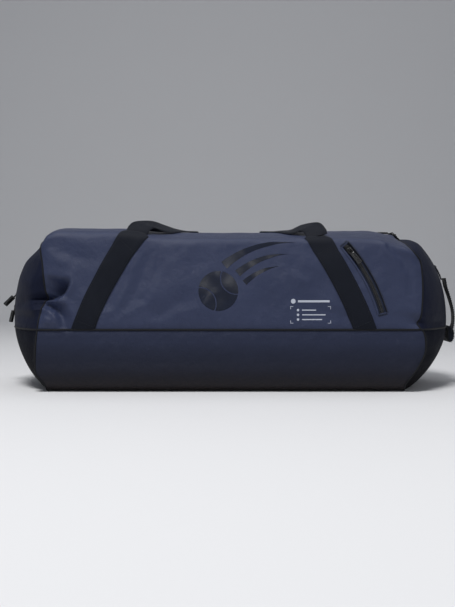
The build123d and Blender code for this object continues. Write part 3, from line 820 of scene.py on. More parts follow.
MATERIAL = {
    "upper_cloth": coated_cloth("upper cloth", "232B45", "323A56", rough=0.46, shine=0.32),
    "base_cloth": coated_cloth("base cloth", "1E2438", "2A3047", rough=0.52, shade_and_dust=0.22, shine=0.2),
    # painted shade: the ends take darker copies of the upper and base cloth, standing in for the shade that
    # falls on them
    "end_cloth": coated_cloth("end cloth", "0B0F20", "161C32", rough=0.66, shine=0.12, sheen=0.02),
    "shaded_end_base_cloth": coated_cloth(
        "end base cloth", "080B16", "0F1322", rough=0.72, shade_and_dust=0.06, shine=0.07, sheen=0.01
    ),
    "lining": coated_cloth("lining", "30333B", "3C4049", pitch=0.0013, rough=0.7),
    "webbing": webbing("webbing", "050810", "111623"),
    "binding": twill_tape("binding", "06070A", "101218"),
    "zip_tape": twill_tape("zip tape", "121828", "202941"),
    "thread": twill_tape("thread", "0E1017", "20242E"),
    "teeth": moulded("zip teeth", "0B0C10", rough=0.3),
    "lacquer": moulded("slider lacquer", "070709", rough=0.16, metallic=0.6),
    "pull_plastic": moulded("pull plastic", "08090B", rough=0.22),
    "print": gloss_print("gloss print", "03050E"),
    "ink": ink("label ink", "B9BECA"),
    "board": moulded("base board", "1A1B1E", rough=0.6),
}


def set_piece(obj, body, nodes=()):
    """Parents a piece to one body's empty; given anything else, such as two bodies and a bend, only bakes its
    transform. Hides the solids it replaces.
    """
    if isinstance(body, str):
        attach(obj, body)
    else:
        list(body)
        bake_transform(obj)
    if nodes:
        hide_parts(*nodes)


# ------------------------------------------------------------------ body panels
XS = np.concatenate([stations(-SEAM_X, -240, 2.0), stations(-236, 284, 4.0), stations(287, SEAM_X, 3.0)])


def cut_away(obj, cutter):
    """Takes the cutter's space out of a piece and drops the cutter."""
    for m in obj.data.materials:
        cutter.data.materials.append(m)
    cutter.data.polygons.foreach_set("material_index", [2] * len(cutter.data.polygons))
    mod = obj.modifiers.new("cut", "BOOLEAN")
    mod.object = cutter
    mod.solver = "EXACT"
    bpy.context.view_layer.objects.active = obj
    bpy.ops.object.modifier_apply(modifier=mod.name)
    bpy.data.objects.remove(cutter)
    finish_normals(obj, 40)


# the pocket zip's arc in the front wall's own plane: centre and turning range from its joint
P_TRAVEL = JOINT["pocket_slider_travel"]
P_CENTRE = np.array(P_TRAVEL["pos_m"]) / MM
P_NORMAL = -np.array(P_TRAVEL["axis"], float)
P_ARM = np.array(JOINT["pocket_pull_flip"]["pos_m"]) / MM - P_CENTRE
P_ARM -= P_NORMAL * np.dot(P_ARM, P_NORMAL)
P_RADIUS = float(np.linalg.norm(P_ARM))
P_UP = np.cross(P_NORMAL, [1.0, 0.0, 0.0])
P_REST = math.atan2(float(np.dot(P_ARM, P_UP)), P_ARM[0])
P_TOP = P_REST + 10.0 / P_RADIUS
P_FOOT = P_REST - math.radians(P_TRAVEL["range_deg"][1]) - 8.0 / P_RADIUS


def pocket_point(angle, out=0.0, lift=0.0):
    """A point near the pocket zip: angle along it, out across it, lift off the cloth's face."""
    r = P_RADIUS + np.asarray(out, float)
    x = P_CENTRE[0] + r * np.cos(angle)
    z = P_CENTRE[2] + r * np.sin(angle) * P_UP[2]
    return skin(x, s_at_z(z), -1, lift)


def pocket_cutter():
    a = np.linspace(P_FOOT, P_TOP, 40)
    corners = ((-7.2, 12), (7.2, 12), (7.2, -14), (-7.2, -14))
    lines = [pocket_point(a, out)[0] + P_NORMAL * lift for out, lift in corners]
    return ringed("pocket cutter", np.stack(lines, 1))


def end_zip_cutter():
    a = np.linspace(math.radians(-2.5), math.radians(33), 40)
    corners = ((14, -8.8), (14, 8.8), (-16, 8.8), (-16, -8.8))
    return ringed("end zip cutter", np.stack([end_arc(a, END_R + out, y) for out, y in corners], 1))


for side, half in HALVES:
    wall = panel(f"{half}_wall", XS, stations(S_BOOT, S_FOLD, 3.0), side, "upper_cloth")
    if side < 0:
        cut_away(wall, pocket_cutter())
    set_piece(wall, "bag", [f"{half}_panel"])


def base_boot():
    """The base's cloth, wrapped under from seam to seam."""
    ss = stations(0, S_BOOT, 5.0)
    points, uvs = [], []
    for side, row in ((-1, ss[::-1]), (1, ss[1:])):
        X, S = np.meshgrid(XS, row, indexing="ij")
        points.append(skin(X, S, side)[0])
        uvs.append(stack(X, side * S))
    points, uvs = np.concatenate(points, 1), np.concatenate(uvs, 1)
    faces = grid_faces(*points.shape[:2])
    return cloth_piece("base_boot", points.reshape(-1, 3), faces, uvs.reshape(-1, 2), "base_cloth")


boot = base_boot()
set_piece(boot, "bag", ["base_panel"])


def end_dome(end, n_ring=220, n_in=44):
    """Points and faces of an end's dome."""
    rings = end_rings(end, n_ring, n_in)
    verts = np.concatenate([rings[:-1].reshape(-1, 3), rings[-1].mean(0)[None]])
    faces = grid_faces(n_in - 1, n_ring, round_cols=True)
    last = (n_in - 2) * n_ring
    faces += [(last + j, last + (j + 1) % n_ring, len(verts) - 1) for j in range(n_ring)]
    return verts, [f[::-1] for f in faces] if end > 0 else faces


def end_part(name, end, dome, finish, upper):
    """One panel of an end, cut off its dome at the base seam. Returns it and the line of the cut."""
    bm = bmesh.new()
    vs = [bm.verts.new(v) for v in dome[0]]
    for f in dome[1]:
        bm.faces.new([vs[i] for i in f])
    cut = {"plane_co": (0, 0, BOOT_Z), "plane_no": (0, 0, 1), "clear_inner": upper, "clear_outer": not upper}
    bmesh.ops.bisect_plane(bm, geom=bm.verts[:] + bm.edges[:] + bm.faces[:], dist=0.02, **cut)
    bm.verts.index_update()
    p = end_folds(np.array([v.co for v in bm.verts]), end)
    faces = [tuple(v.index for v in f.verts) for f in bm.faces]
    rim = [i for i, v in enumerate(bm.verts) if abs(v.co.z - BOOT_Z) < 0.05]
    bm.free()
    return cloth_piece(name, p, faces, p[:, 1:], finish), p[sorted(rim, key=lambda i: p[i, 1])]


seam_lines = {}
for end, name in ENDS:
    dome = end_dome(end)
    # the end panels take the darker cloth copies that paint the ends' shade
    wall, seam_lines[end] = end_part(f"end_wall_{name}", end, dome, "end_cloth", True)
    low, _ = end_part(f"end_boot_{name}", end, dome, "shaded_end_base_cloth", False)
    if end < 0:
        cut_away(wall, end_zip_cutter())
    set_piece(wall, "bag", [f"end_panel_{name}"])
    set_piece(low, "bag", [f"end_base_{name}"])


# ------------------------------------------------------------------ top flaps and bridges
def flap_bend(side, half):
    """Where cloth that runs from the wall onto a flap bends."""
    return "bag", f"{half}_flap", (0, side * 0.140, 0.268), (0, side * 0.122, 0.268)


for side, half in HALVES:
    xs = stations(-FLAP_HALF, FLAP_HALF, 4.0)
    flap = panel(f"top_flap_cloth_{half}", xs, stations(S_FOLD + 0.4, S_ZIP, 4.0), side, "upper_cloth")
    set_piece(flap, flap_bend(side, half), [f"top_flap_{half}"])
for end, name in ENDS:
    parts = []
    for lo, hi, ss in (
        (FLAP_HALF, SEAM_X, stations(S_FOLD, S_ZIP, 4.0)),
        (SEAM_X - 2, SEAM_X, stations(S_ZIP, S_MAX, 3.0)),
    ):
        x0, x1 = sorted((end * lo, end * hi))
        xs = stations(x0, x1, 4.0)
        parts += [panel(f"bridge_{name}_{side}", xs, ss, side, "upper_cloth") for side, _ in HALVES]
    set_piece(join(f"bridge_cloth_{name}", *parts), "bag", [f"top_bridge_{name}"])

# ------------------------------------------------------------------ seams and piping
piping = []
for side, half in HALVES:
    p, n = skin(XS, S_BOOT, side, 0.9)
    piping.append(tube(f"piping_{half}", p, 1.7, "binding", n, squash=0.8))
for end, name in ENDS:
    p = resample(seam_lines[end], 120)
    n = unit(stack(end, p[:, 1] / 170, 0))
    piping.append(tube(f"piping_{name}", p + n * 0.3, 1.5, "binding", n, squash=0.75))
set_piece(join("base_piping_cord", *piping), "bag", ["base_piping"])

for end, name in ENDS:
    ss = stations(0, S_MAX, 3.0)
    (front, front_n), (rear, rear_n) = (
        skin(end * (SEAM_X + 0.4), row, side, 0.2) for side, row in ((-1, ss), (1, ss[::-1][1:-1]))
    )
    line, normals = np.concatenate([front, rear]), np.concatenate([front_n, rear_n])
    seam = tube(f"end_seam_{name}", line, 1.35, "binding", normals, sides=8, squash=0.8, closed=True)
    set_piece(seam, "bag")

# ------------------------------------------------------------------ straps
STRAPS = (  # name, x of the foot and of the head, bow to its left
    ("left", -250.0, -162.0, 9.0),
    ("right", 230.0, 150.0, -5.0),
)


def strap_line(foot_x, head_x, bow, count):
    """The strap's middle on the wall as (x, z), from base to top, bowed."""
    foot, head = np.array([foot_x, BOOT_Z + 2]), np.array([head_x, SHOULDER[1] + 3])
    t = np.linspace(-0.08, 1, count)[:, None]
    chord = head - foot
    left = np.array([-chord[1], chord[0]]) / np.hypot(*chord)
    return foot + chord * t + left * bow * (4 * t * (1 - t))


def strap(name, side, *way):
    """A strap sewn up the wall and over the shoulder, with its rows of thread."""
    mid = strap_line(*way, 60)
    tangent = unit(np.gradient(mid, axis=0))
    across = stack(tangent[:, 1], -tangent[:, 0])

    def spots(k):
        return mid[:, None] + across[:, None] * np.asarray(k)[:, None] * STRAP_W / 2

    k = np.linspace(-1, 1, 11)
    x, z = np.moveaxis(spots(k), -1, 0)
    foot_z = BOOT_Z + 1.5
    short = np.clip((foot_z - z) / tangent[:, 1:], 0, None)
    x, z = x + tangent[:, :1] * short, np.maximum(z, foot_z)
    s = s_at_z(np.clip(z, 20, SHOULDER[1] - 20)) + np.clip(z - (SHOULDER[1] - 20), 0, None) * 1.25
    # over the shoulder the strap keeps its way along the cloth, and its end is cut square
    run = np.linspace(0, 1, 9)[1:, None] * (S_FOLD + 6.5 - s[-1, 5])
    x = np.concatenate([x, x[-1:] + run * tangent[-1, 0] / tangent[-1, 1]])
    s = np.concatenate([s, s[-1:] + run])
    edge = 0.55 + 0.45 * np.sqrt(np.clip(1 - np.abs(k) ** 12, 0, 1))
    rings = np.concatenate([skin(x, s, side, 0.15 + WEB * edge)[0], skin(x, s, side, 0.1)[0][:, ::-1]], 1)
    width = np.concatenate([k, k[::-1]]) * STRAP_W / 2
    uv = stack(width, along(stack(x[:, 5], s[:, 5]))[:, None]).reshape(-1, 2)
    bits = [ringed(name, rings, "webbing", uv)]
    lines = [spots([q])[7:-6, 0] for q in (-0.86, 0.86)]
    lines += [spots(np.linspace(-0.84, 0.84, 12))[row] for row in (7, 51)]
    for i, line in enumerate(lines):
        p, n = skin(line[:, 0], s_at_z(line[:, 1]), side, WEB + 0.12)
        bits.append(stitches(f"{name}_thread_{i}", p, n))
    return join(name, *bits)


for side, half in HALVES:
    for hand, *way in STRAPS:
        nodes = [f"{half}_strap_{hand}"] + ([f"{half}_handle_tabs"] if hand == "left" else [])
        set_piece(strap(f"{half}_strap_web_{hand}", side, *way), flap_bend(side, half), nodes)

# ------------------------------------------------------------------ carry handles
HANDLE_LEGS = {  # the front handle: x, y, z of the band's middle, and half its width as a vector
    "left": (
        (-162, -134.5, 273.0, 18.0, 0.0, -4.5),
        (-158, -129, 282, 18.3, -1.0, -4.5),
        (-149, -120, 288.5, 17.4, -3.0, -6.0),
        (-129, -103, 287.2, 11.0, -13.0, -10.0),
        (-111, -91, 282.5, 7.0, -16.0, -8.0),
        (-94, -78, 280.2, 3.5, -18.3, -3.5),
        (-76, -62, 279.2, 1.0, -19.0, -1.0),
        (-58, -47, 279.0, 0.5, -19.0, 0.0),
    ),
    "right": (
        (151, -134.5, 268.0, 18.0, 0.0, 4.5),
        (148, -129, 277, 18.4, -1.0, 4.5),
        (139, -120, 285, 16.2, 4.5, 8.0),
        (119, -105, 281.5, 10.5, 14.2, 9.0),
        (104, -92, 278.0, 7.0, 17.0, 4.0),
        (89, -76, 278.6, 3.5, 18.3, 2.0),
        (71, -60, 278.7, 1.0, 19.0, 0.5),
        (54, -47, 279.0, 0.5, 19.0, 0.0),
    ),
}


def handle(side, name):
    """Two legs of webbing that rise from the straps, fold over and lie on the flap, and the grip between."""
    bits = []
    for hand, leg in HANDLE_LEGS.items():
        line = catmull(leg, 44) * [1, -side, 1, 1, -side, 1]
        c, w = line[:, :3], line[:, 3:]
        m = unit(np.cross(unit(w), unit(np.gradient(c, axis=0))))
        if m[-1, 2] < 0:
            m = -m
        bits.append(ribbon(f"{name}_{hand}", c, unit(w), m, 2 * np.linalg.norm(w, axis=1), WEB))
        bits += edge_stitches(f"{name}_{hand}", c[4:], w[4:], m[4:], (-0.84, 0.84), WEB / 2 + 0.05)
    x = np.linspace(-66, 62, 50)
    z = skin(x, s_at_y(43.0), side)[0][:, 2] + 1.9
    c = stack(x, side * (42.0 + 1.5 * np.cos(x / 45)), z)
    _, a, m = frames(c, (0, side * 0.12, 1.0))
    wide = STRAP_W - 1 + 1.2 * np.sin(x / 31)
    bits.append(ribbon(f"{name}_grip", c, a, m, wide, 2.8))
    bits += edge_stitches(f"{name}_grip", c, a * wide[:, None] / 2, m, (-0.8, 0.8), 1.4)
    return join(name, *bits)


for side, half in HALVES:
    root = (f"{half}_flap", f"{half}_handle", (0, side * 0.1335, 0.2695), (0, side * 0.1245, 0.284))
    set_piece(handle(side, f"{half}_handle_web"), root, [f"{half}_handle"])

# ------------------------------------------------------------------ zips
TOOTH = (  # a tooth's rings from its root to its head: distance off the middle, half length, foot, top
    (3.4, 0.55, 0.0, 1.5),
    (1.0, 0.55, 0.0, 2.2),
    (-0.55, 0.72, 0.3, 1.9),
)


def zip_halves(prefix, centre, tangent, normal, reach):
    """Both halves of a zip: lists of tape and rows of teeth by side. Each tooth reaches over the middle."""
    across = np.cross(tangent, normal)
    d = along(centre)
    tapes, rows = [], []
    for hand, phase in ((1, 0.6), (-1, 1.7)):
        mid = centre + across * (hand * (0.5 + reach) / 2) - normal * 0.5
        tapes.append(ribbon(f"{prefix}_tape_{hand}", mid, across, normal, reach - 0.5, 0.9, "zip_tape", 5))
        teeth = []
        at = phase
        while at < d[-1] - 0.5:
            c, t, m, a = (rows_at(at, d, v) for v in (centre, tangent, normal, across))
            rings = []
            for out, half, low, high in TOOTH:
                corners = ((-half, low), (half, low), (half, high), (-half, high))
                rings.append([c + a * (hand * out) + t * dt + m * dh for dt, dh in corners])
            teeth.append(rings)
            at += 2.2
        rows.append(blocks(f"{prefix}_teeth_{hand}", teeth, "teeth", angle=30))
    return tapes, rows


# main zip, sunk under the crown; its first half lies on the front
x = np.linspace(-FLAP_HALF, FLAP_HALF, 150)
centre = stack(x, 0, TAPE_Z + 1.8 - crown_drop(x))
tapes, rows = zip_halves("main", centre, np.tile([1.0, 0, 0], (150, 1)), np.tile([0, 0, 1.0], (150, 1)), 16.0)
for tape, row, (_, half) in zip(tapes, rows, HALVES):
    set_piece(tape, f"{half}_flap", [f"main_zip_tape_{half}"])
    set_piece(row, f"{half}_flap", [f"main_zip_teeth_{half}"])

end_tapes, stops = [], []
for end, name in ENDS:
    x0, x1 = sorted((end * (FLAP_HALF + 0.4), end * (SEAM_X - 2)))
    x = np.linspace(x0, x1, 8)
    c = stack(x, 0, TAPE_Z + 1.3 - crown_drop(x))
    across, up = (np.tile(v, (8, 1)) for v in ([0, 1.0, 0], [0, 0, 1.0]))
    end_tapes.append(ribbon(f"main_end_tape_{name}", c, across, up, 32.0, 0.9, "zip_tape", 5))
    at = end * (SEAM_X - 6.5)
    z = TAPE_Z + 1.8 - float(crown_drop(at))
    stops.append(box_mesh(f"stop_{name}", (at - 2, -3.4, z - 0.3), (at + 2, 3.4, z + 2.6), "lacquer", 0.6))
set_piece(join("main_zip_end_tapes", *end_tapes), "bag", ["main_zip_ends"])
set_piece(join("main_zip_end_stops", *stops), "bag", ["main_zip_stops"])

# pocket zip on the front wall, and end zip on the left end
POCKET_DEEP = 3.0
END_DEEP = 2.0


def sewn_in_zip(prefix, centre, hints):
    """A zip whose two tapes are both sewn to the bag."""
    t, _, m = frames(centre, hints)
    tapes, rows = zip_halves(prefix, centre, t, m, 13.5)
    set_piece(join(f"{prefix}_zip_tapes", *tapes), "bag", [f"{prefix}_zip_tape"])
    set_piece(join(f"{prefix}_zip_rows", *rows), "bag", [f"{prefix}_zip_teeth"])


def pocket_edges():
    """The pocket zip's welt and binding, their threads, and a bar tack at each end."""
    bits = []
    for out, lift, radius, finish, squash in (
        (-7.9, 0.1, 1.5, "upper_cloth", 0.55),
        (7.6, 0.0, 0.9, "binding", 0.6),
    ):
        p, n = pocket_point(np.linspace(P_TOP + 0.004, P_FOOT - 0.004, 80), out, lift)
        bits.append(tube(f"welt_{out}", p, radius, finish, n, squash=squash))
    for out in (-10.2, 9.6):
        p, n = pocket_point(np.linspace(P_TOP + 0.01, P_FOOT - 0.01, 80), out)
        bits.append(stitches(f"welt_thread_{out}", p, n, length=2.6, gap=1.2))
    for a in (P_TOP + 0.008, P_TOP + 0.013, P_FOOT - 0.008, P_FOOT - 0.013):
        p, n = pocket_point(a, np.linspace(-8.5, 8.5, 10), 0.2)
        bits.append(stitches(f"tack_{a}", p, n, length=2.4, gap=0.3, thick=0.5, finish="binding"))
    return join("pocket_zip_edges", *bits)


sewn_in_zip("pocket", *pocket_point(np.linspace(P_TOP + 0.012, P_FOOT - 0.012, 90), 0.0, -POCKET_DEEP))
set_piece(pocket_edges(), "bag")

end_a = np.linspace(math.radians(-3.2), math.radians(33.6), 90)
end_n = stack(-np.cos(end_a), 0, np.sin(end_a))
sewn_in_zip("end", end_arc(end_a, END_R - END_DEEP), end_n)
welts = []
for y in (-9.4, 9.4):
    welts.append(tube(f"end_welt_{y}", end_arc(end_a, END_R + 0.3, y), 1.5, "binding", end_n, squash=0.6))
set_piece(join("end_zip_edges", *welts), "bag")


# ------------------------------------------------------------------ sliders and pulls
HINGE_UP = 5.3  # a pull's hinge over the tape
SLIDER_PARTS = (  # low corner, high corner, rounding: two plates, the post between them and the side walls
    ((-7, -5, 2.8), (7, 5, 4.3), 0.6),
    ((-7, -4.5, -3.0), (7, 4.5, -1.7), 0.5),
    ((0, -0.45, -2), (5, 0.45, 3), 0.0),
    ((-7, 3.7, 0.5), (7, 5, 3.2), 0.4),
    ((-7, -5, 0.5), (7, -3.7, 3.2), 0.4),
)
RING = ((0, -2.9), (0, 2.9), (3, 3.1), (8.5, 2.2), (9.4, 0), (8.5, -2.2), (3, -3.1), (0, -2.9))


def local_frame(pull_joint, out):
    """Where a slider sits, from its pull's hinge: local X along the zip, Z outwards, origin on the tape."""
    j = JOINT[pull_joint]
    y = Vector(j["axis"]).normalized()
    z = Vector(out).normalized()
    m = Matrix((y.cross(z), y, z)).transposed().to_4x4()
    m.translation = Vector(j["pos_m"]) - z * HINGE_UP * MM
    return m


def slider(name, place):
    """A lacquered slider: two rounded plates, side walls and an arch for the pull."""
    bits = []
    for i, (lo, hi, bevel) in enumerate(SLIDER_PARTS):
        bits.append(box_mesh(f"{name}_part_{i}", lo, hi, "lacquer", bevel, place))
    a = np.linspace(0, math.pi, 15)
    arch = stack(3.3 * np.cos(a), 0, 3.9 + 3.1 * np.sin(a) ** 0.75)
    bits.append(tube(name + "_arch", arch, 0.85, "lacquer", (0, 1.0, 0), squash=1.5))
    bits[-1].data.transform(place)
    return join(name, *bits)


def pull(name, place, turn=0.0, thick=3.3, twist=0.0):
    """A moulded pull on a wire ring, lying along the zip. Returns it and the span where the ring may bend."""
    ring = catmull(RING, 48)[:-1]
    wire = tube(name + "_ring", stack(*ring.T, 0.1), 0.95, "lacquer", (0, 0, 1.0), closed=True)
    top = thick - 0.7
    bits = [box_mesh(name + "_tab", (7.6, -4.3, -0.7), (30.5, 4.3, top), "pull_plastic", 1.3, segments=3)]
    for i in range(5):
        x = 14 + i * 2.6
        lo, hi = (x, -3.1, top - 0.2), (x + 1.2, 3.1, top + 0.5)
        bits.append(box_mesh(f"{name}_rib_{i}", lo, hi, "pull_plastic", 0.3))
    for bit in bits:
        bit.data.transform(Matrix.Rotation(twist, 4, "X"))
    o = join(name, wire, *bits)
    hinge = place @ Matrix.Translation((0, 0, HINGE_UP * MM))
    local = hinge @ Matrix.Rotation(turn, 4, "Y") @ Matrix.Rotation(math.pi, 4, "Z")
    o.data.transform(local)
    return o, [tuple(local @ Vector((x * MM, 0, 0))) for x in (0.5, 7.4)]


def running_pair(zip_name, which, place, *shape):
    """A slider and its pull. The ring's near end stays on the slider."""
    tail = f"_{which}" if which else ""
    slider_body, pull_body = f"{zip_name}_slider{tail}", f"{zip_name}_pull{tail}"
    set_piece(slider(f"{zip_name}_zip_slider{tail}", place), slider_body, [slider_body])
    o, span = pull(f"{zip_name}_zip_pull{tail}", place, *shape)
    set_piece(o, (slider_body, pull_body, *span), [pull_body])


park_drop = float(crown_drop(JOINT["main_pull_flip"]["pos_m"][0] / MM))
place = local_frame("main_pull_flip", (0, 0, 1))
running_pair("main", "", Matrix.Translation((0, 0, (1.8 - park_drop) * MM)) @ place)

place = local_frame("pocket_pull_flip", P_NORMAL)
on_tape = pocket_point(P_REST, 0.0, -POCKET_DEEP)[0] * MM
shift = float(np.dot(on_tape - np.array(place.translation), P_NORMAL))
running_pair("pocket", "", Matrix.Translation(Vector(P_NORMAL) * shift) @ place)

for which, *shape in (("upper", 0.62, 5.2, 0.8), ("lower", 0.16, 5.2, 0.3)):
    joint = f"end_{which}_pull_flip"
    out = Vector(JOINT[joint]["pos_m"]) - Vector((-END_CENTRE[0] * MM, 0, END_CENTRE[1] * MM))
    to_tape = Matrix.Translation(out.normalized() * (5.5 - END_DEEP) * MM)
    running_pair("end", which, to_tape @ local_frame(joint, out), *shape)

# ------------------------------------------------------------------ grab handle on the right end
E_HINGE = np.array(JOINT["end_handle_swing"]["pos_m"]) / MM
LEG_Y = 47.0
GRIP_X, _, GRIP_Z = np.sum(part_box("end_handle_grip"), axis=0) / 2 / MM


def end_tab(side, name):
    """A sewn tab of webbing hugging the end above the handle's fold."""
    z = np.linspace(E_HINGE[2] - 1, E_HINGE[2] + 24, 12)
    y = np.full(12, side * LEG_Y)
    c = stack(end_reach(y, z) + 2.0, y, z)
    _, a, m = frames(c, (1.0, 0.2 * side, 0.3))
    bits = [ribbon(f"end_tab_{name}", c, a, m, 30.0, WEB)]
    bits += edge_stitches(f"end_tab_edge_{name}", c[3:10], a[3:10] * 15, m[3:10], (-0.8, 0.8), WEB / 2)
    for row in (3, 10):
        p = c[row] + a[row] * np.linspace(-12, 12, 8)[:, None] + m[row] * (WEB / 2)
        bits.append(stitches(f"end_tab_bar_{name}_{row}", p, np.tile(m[row], (8, 1))))
    return bits


def end_leg(side, name):
    """One leg of the loop, from its hinge down and in to the grip."""
    line = catmull(
        (  # x, y, z, and how far the band turns inwards
            (E_HINGE[0] - 0.6, side * LEG_Y, E_HINGE[2] + 1.5, 0.0),
            (E_HINGE[0] + 2.0, side * LEG_Y, 180.0, 0.0),
            (401.0, side * 46.0, 158.0, 0.05),
            (407.5, side * 43.0, 134.0, 0.15),
            (409.0, side * 37.0, 112.0, 0.35),
            (407.0, side * 28.0, 98.0, 0.6),
            (GRIP_X, side * 18.0, GRIP_Z, 0.8),
        ),
        48,
    )
    c = line[:, :3]
    _, a, m = frames(c, stack(1.0, 0.25 * side * line[:, 3], 0))
    wide = np.interp(np.linspace(0, 1, 48), [0, 0.55, 1], [30, 28, 22])
    half = a * wide[:, None] / 2
    bits = [ribbon(f"end_leg_{name}", c, a, m, wide, WEB)]
    return bits + edge_stitches(f"end_leg_edge_{name}", c[3:34], half[3:34], m[3:34], (-0.82, 0.82), WEB / 2)


def end_grip():
    """The padded wrap round the loop's foot, and a row of thread near each of its ends."""
    y = np.linspace(-40, 40, 33)
    half = (15.0 - 1.2 * (y / 40) ** 4) * np.where(np.abs(y) > 37, 0.93, 1.0)
    c = stack(GRIP_X + 0.8 * np.cos(y / 26), y, GRIP_Z)
    bits = [tube("end_handle_wrap", c, half, "webbing", (1.0, 0, 0), sides=24, squash=0.42)]
    a = np.linspace(0, 2 * math.pi, 40)
    for at in (-36.5, 36.5):
        p = stack(GRIP_X + 0.8 * math.cos(at / 26) + np.cos(a) * 6.5, at, GRIP_Z + np.sin(a) * 14.8)
        bits.append(stitches(f"wrap_thread_{at}", p, stack(np.cos(a), 0, np.sin(a) * 0.5), length=2.6))
    return join("end_handle_wrap", *bits)


tabs = end_tab(-1, "front") + end_tab(1, "rear")
set_piece(join("end_handle_sewn_tabs", *tabs), "bag", ["end_handle_tabs"])
loop = join("end_handle_web", *end_leg(-1, "front"), *end_leg(1, "rear"))
root = ("bag", "end_handle", (E_HINGE[0] * MM, 0, 0.1955), (E_HINGE[0] * MM, 0, 0.187))
set_piece(loop, root, ["end_handle_loop"])
set_piece(end_grip(), "end_handle", ["end_handle_grip"])


# ------------------------------------------------------------------ inside
def edge_distance(U, V):
    """How far each point of a grid is from the grid's edge."""
    sides = (U - U.min(), U.max() - U, V - V.min(), V.max() - V)
    return np.minimum.reduce(sides)


def cushion(name, node, finish, cells, quilt=0.0):
    """A soft slab with rounded edges that fills a node's box."""
    lo, hi = (np.array(corner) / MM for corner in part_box(node))
    size = hi - lo
    thin = int(np.argmin(size))
    u_axis, v_axis = [k for k in range(3) if k != thin]
    nu, nv = cells
    U, V = np.meshgrid(
        np.linspace(lo[u_axis], hi[u_axis], nu), np.linspace(lo[v_axis], hi[v_axis], nv), indexing="ij"
    )
    fall = np.clip(edge_distance(U, V) / (size[thin] * 0.8), 0, 1)
    half = size[thin] / 2 * np.sqrt(1 - (1 - fall) ** 2 * 0.9)
    half = half - quilt * (0.5 + 0.5 * np.cos(U / 26 * math.pi)) * fall
    layers = []
    for up in (1, -1):
        p = np.zeros((nu, nv, 3))
        p[..., u_axis], p[..., v_axis], p[..., thin] = U, V, (lo[thin] + hi[thin]) / 2 + up * half
        layers.append(p.reshape(-1, 3))
    faces = grid_faces(nu, nv)
    count = nu * nv
    back = [tuple(i + count for i in reversed(f)) for f in faces]
    rim = [i * nv for i in range(nu)] + [(nu - 1) * nv + j for j in range(1, nv)]
    rim += [i * nv + nv - 1 for i in range(nu - 2, -1, -1)] + list(range(nv - 2, 0, -1))
    sides = [(a, b, b + count, a + count) for a, b in zip(rim, rim[1:] + rim[:1])]
    uv = np.tile(stack(U, V).reshape(-1, 2), (2, 1))
    return mesh_object(name, np.concatenate(layers), faces + back + sides, finish, uv)


divider = cushion("padded_divider", "divider", "lining", (60, 24), quilt=0.4)
set_piece(divider, "bag", ["divider"])
set_piece(cushion("base_board_cover", "base_board", "board", (40, 20)), "bag", ["base_board"])


def end_lining():
    """The end pocket's inner wall: a sheet the shape of the section."""
    x = -SEAM_X + 10
    ring = round_section(x, 160, -4.5)
    centre = np.array([x, 0, 140.0])
    verts = np.concatenate([centre + (ring - centre) * q for q in np.linspace(1, 0.02, 14)])
    verts[:, 0] += ripple(verts[:, 1], verts[:, 2], 140, 77) * 1.2
    faces = grid_faces(14, 160, round_cols=True) + [tuple(range(13 * 160, 14 * 160))]
    return cloth_piece("end_pocket_lining", verts, faces, verts[:, 1:], "lining", thick=0.8)


def front_lining():
    """The front pocket's lining bag, behind the wall."""
    lo, hi = (np.array(corner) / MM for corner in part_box("pocket_bag"))
    X, Z = np.meshgrid(
        np.linspace(lo[0] + 1, hi[0] - 1, 34), np.linspace(lo[2] + 1, hi[2] - 3, 36), indexing="ij"
    )
    depth = 4.6 + 19.0 * np.clip(edge_distance(X, Z) / 16, 0, 1) ** 0.6 + ripple(X, Z, 60, 91) * 0.8
    p, _ = skin(X, s_at_z(np.clip(Z, 20, SHOULDER[1] - 8)), -1, -depth)
    faces = [f[::-1] for f in grid_faces(34, 36)]
    uv = stack(X, Z).reshape(-1, 2)
    return cloth_piece("pocket_lining", p.reshape(-1, 3), faces, uv, "lining", thick=0.8)


liner = end_lining()
set_piece(liner, "bag", ["end_pocket_liner"])
liner = front_lining()
set_piece(liner, "bag", ["pocket_bag"])


# ------------------------------------------------------------------ prints
def flat_shape(name, loop, finish, lift, cell=6.0):
    """A printed shape on the front wall, from a closed loop of (x, z) in millimetres."""
    bm = bmesh.new()
    vs = [bm.verts.new((x, z, 0)) for x, z in loop]
    edges = [bm.edges.new((a, b)) for a, b in zip(vs, vs[1:] + vs[:1])]
    bmesh.ops.triangle_fill(bm, edges=edges, use_beauty=True, use_dissolve=False)
    # cut into cells, so that it can follow the cloth
    for axis in (0, 1):
        reach = [v.co[axis] for v in bm.verts]
        for at in np.arange(math.ceil(min(reach) / cell) * cell, max(reach), cell):
            co, no = [0, 0, 0], [0, 0, 0]
            co[axis], no[axis] = at, 1
            geom = bm.verts[:] + bm.edges[:] + bm.faces[:]
            bmesh.ops.bisect_plane(bm, geom=geom, dist=0.001, plane_co=co, plane_no=no)
    bm.verts.index_update()
    flat = np.array([v.co for v in bm.verts])
    faces = [tuple(v.index for v in f.verts) for f in bm.faces]
    bm.free()
    return mesh_object(name, skin(flat[:, 0], s_at_z(flat[:, 1]), -1, lift)[0], faces, finish, flat[:, :2])


BALL = (-20.0, 173.0, 34.0)  # centre (x, z) and radius
BALL_TURN = math.radians(35)
BALL_SEAM = (1.12, 0.78)  # how far out a seam's circle is centred, and its radius, as shares of the ball's


def on_ball(points):
    """Points of an upright ball at the origin, turned and moved to where the print is."""
    cx, cz, _ = BALL
    c, s = math.cos(BALL_TURN), math.sin(BALL_TURN)
    return [(cx + x * c - z * s, cz + x * s + z * c) for x, z in points]


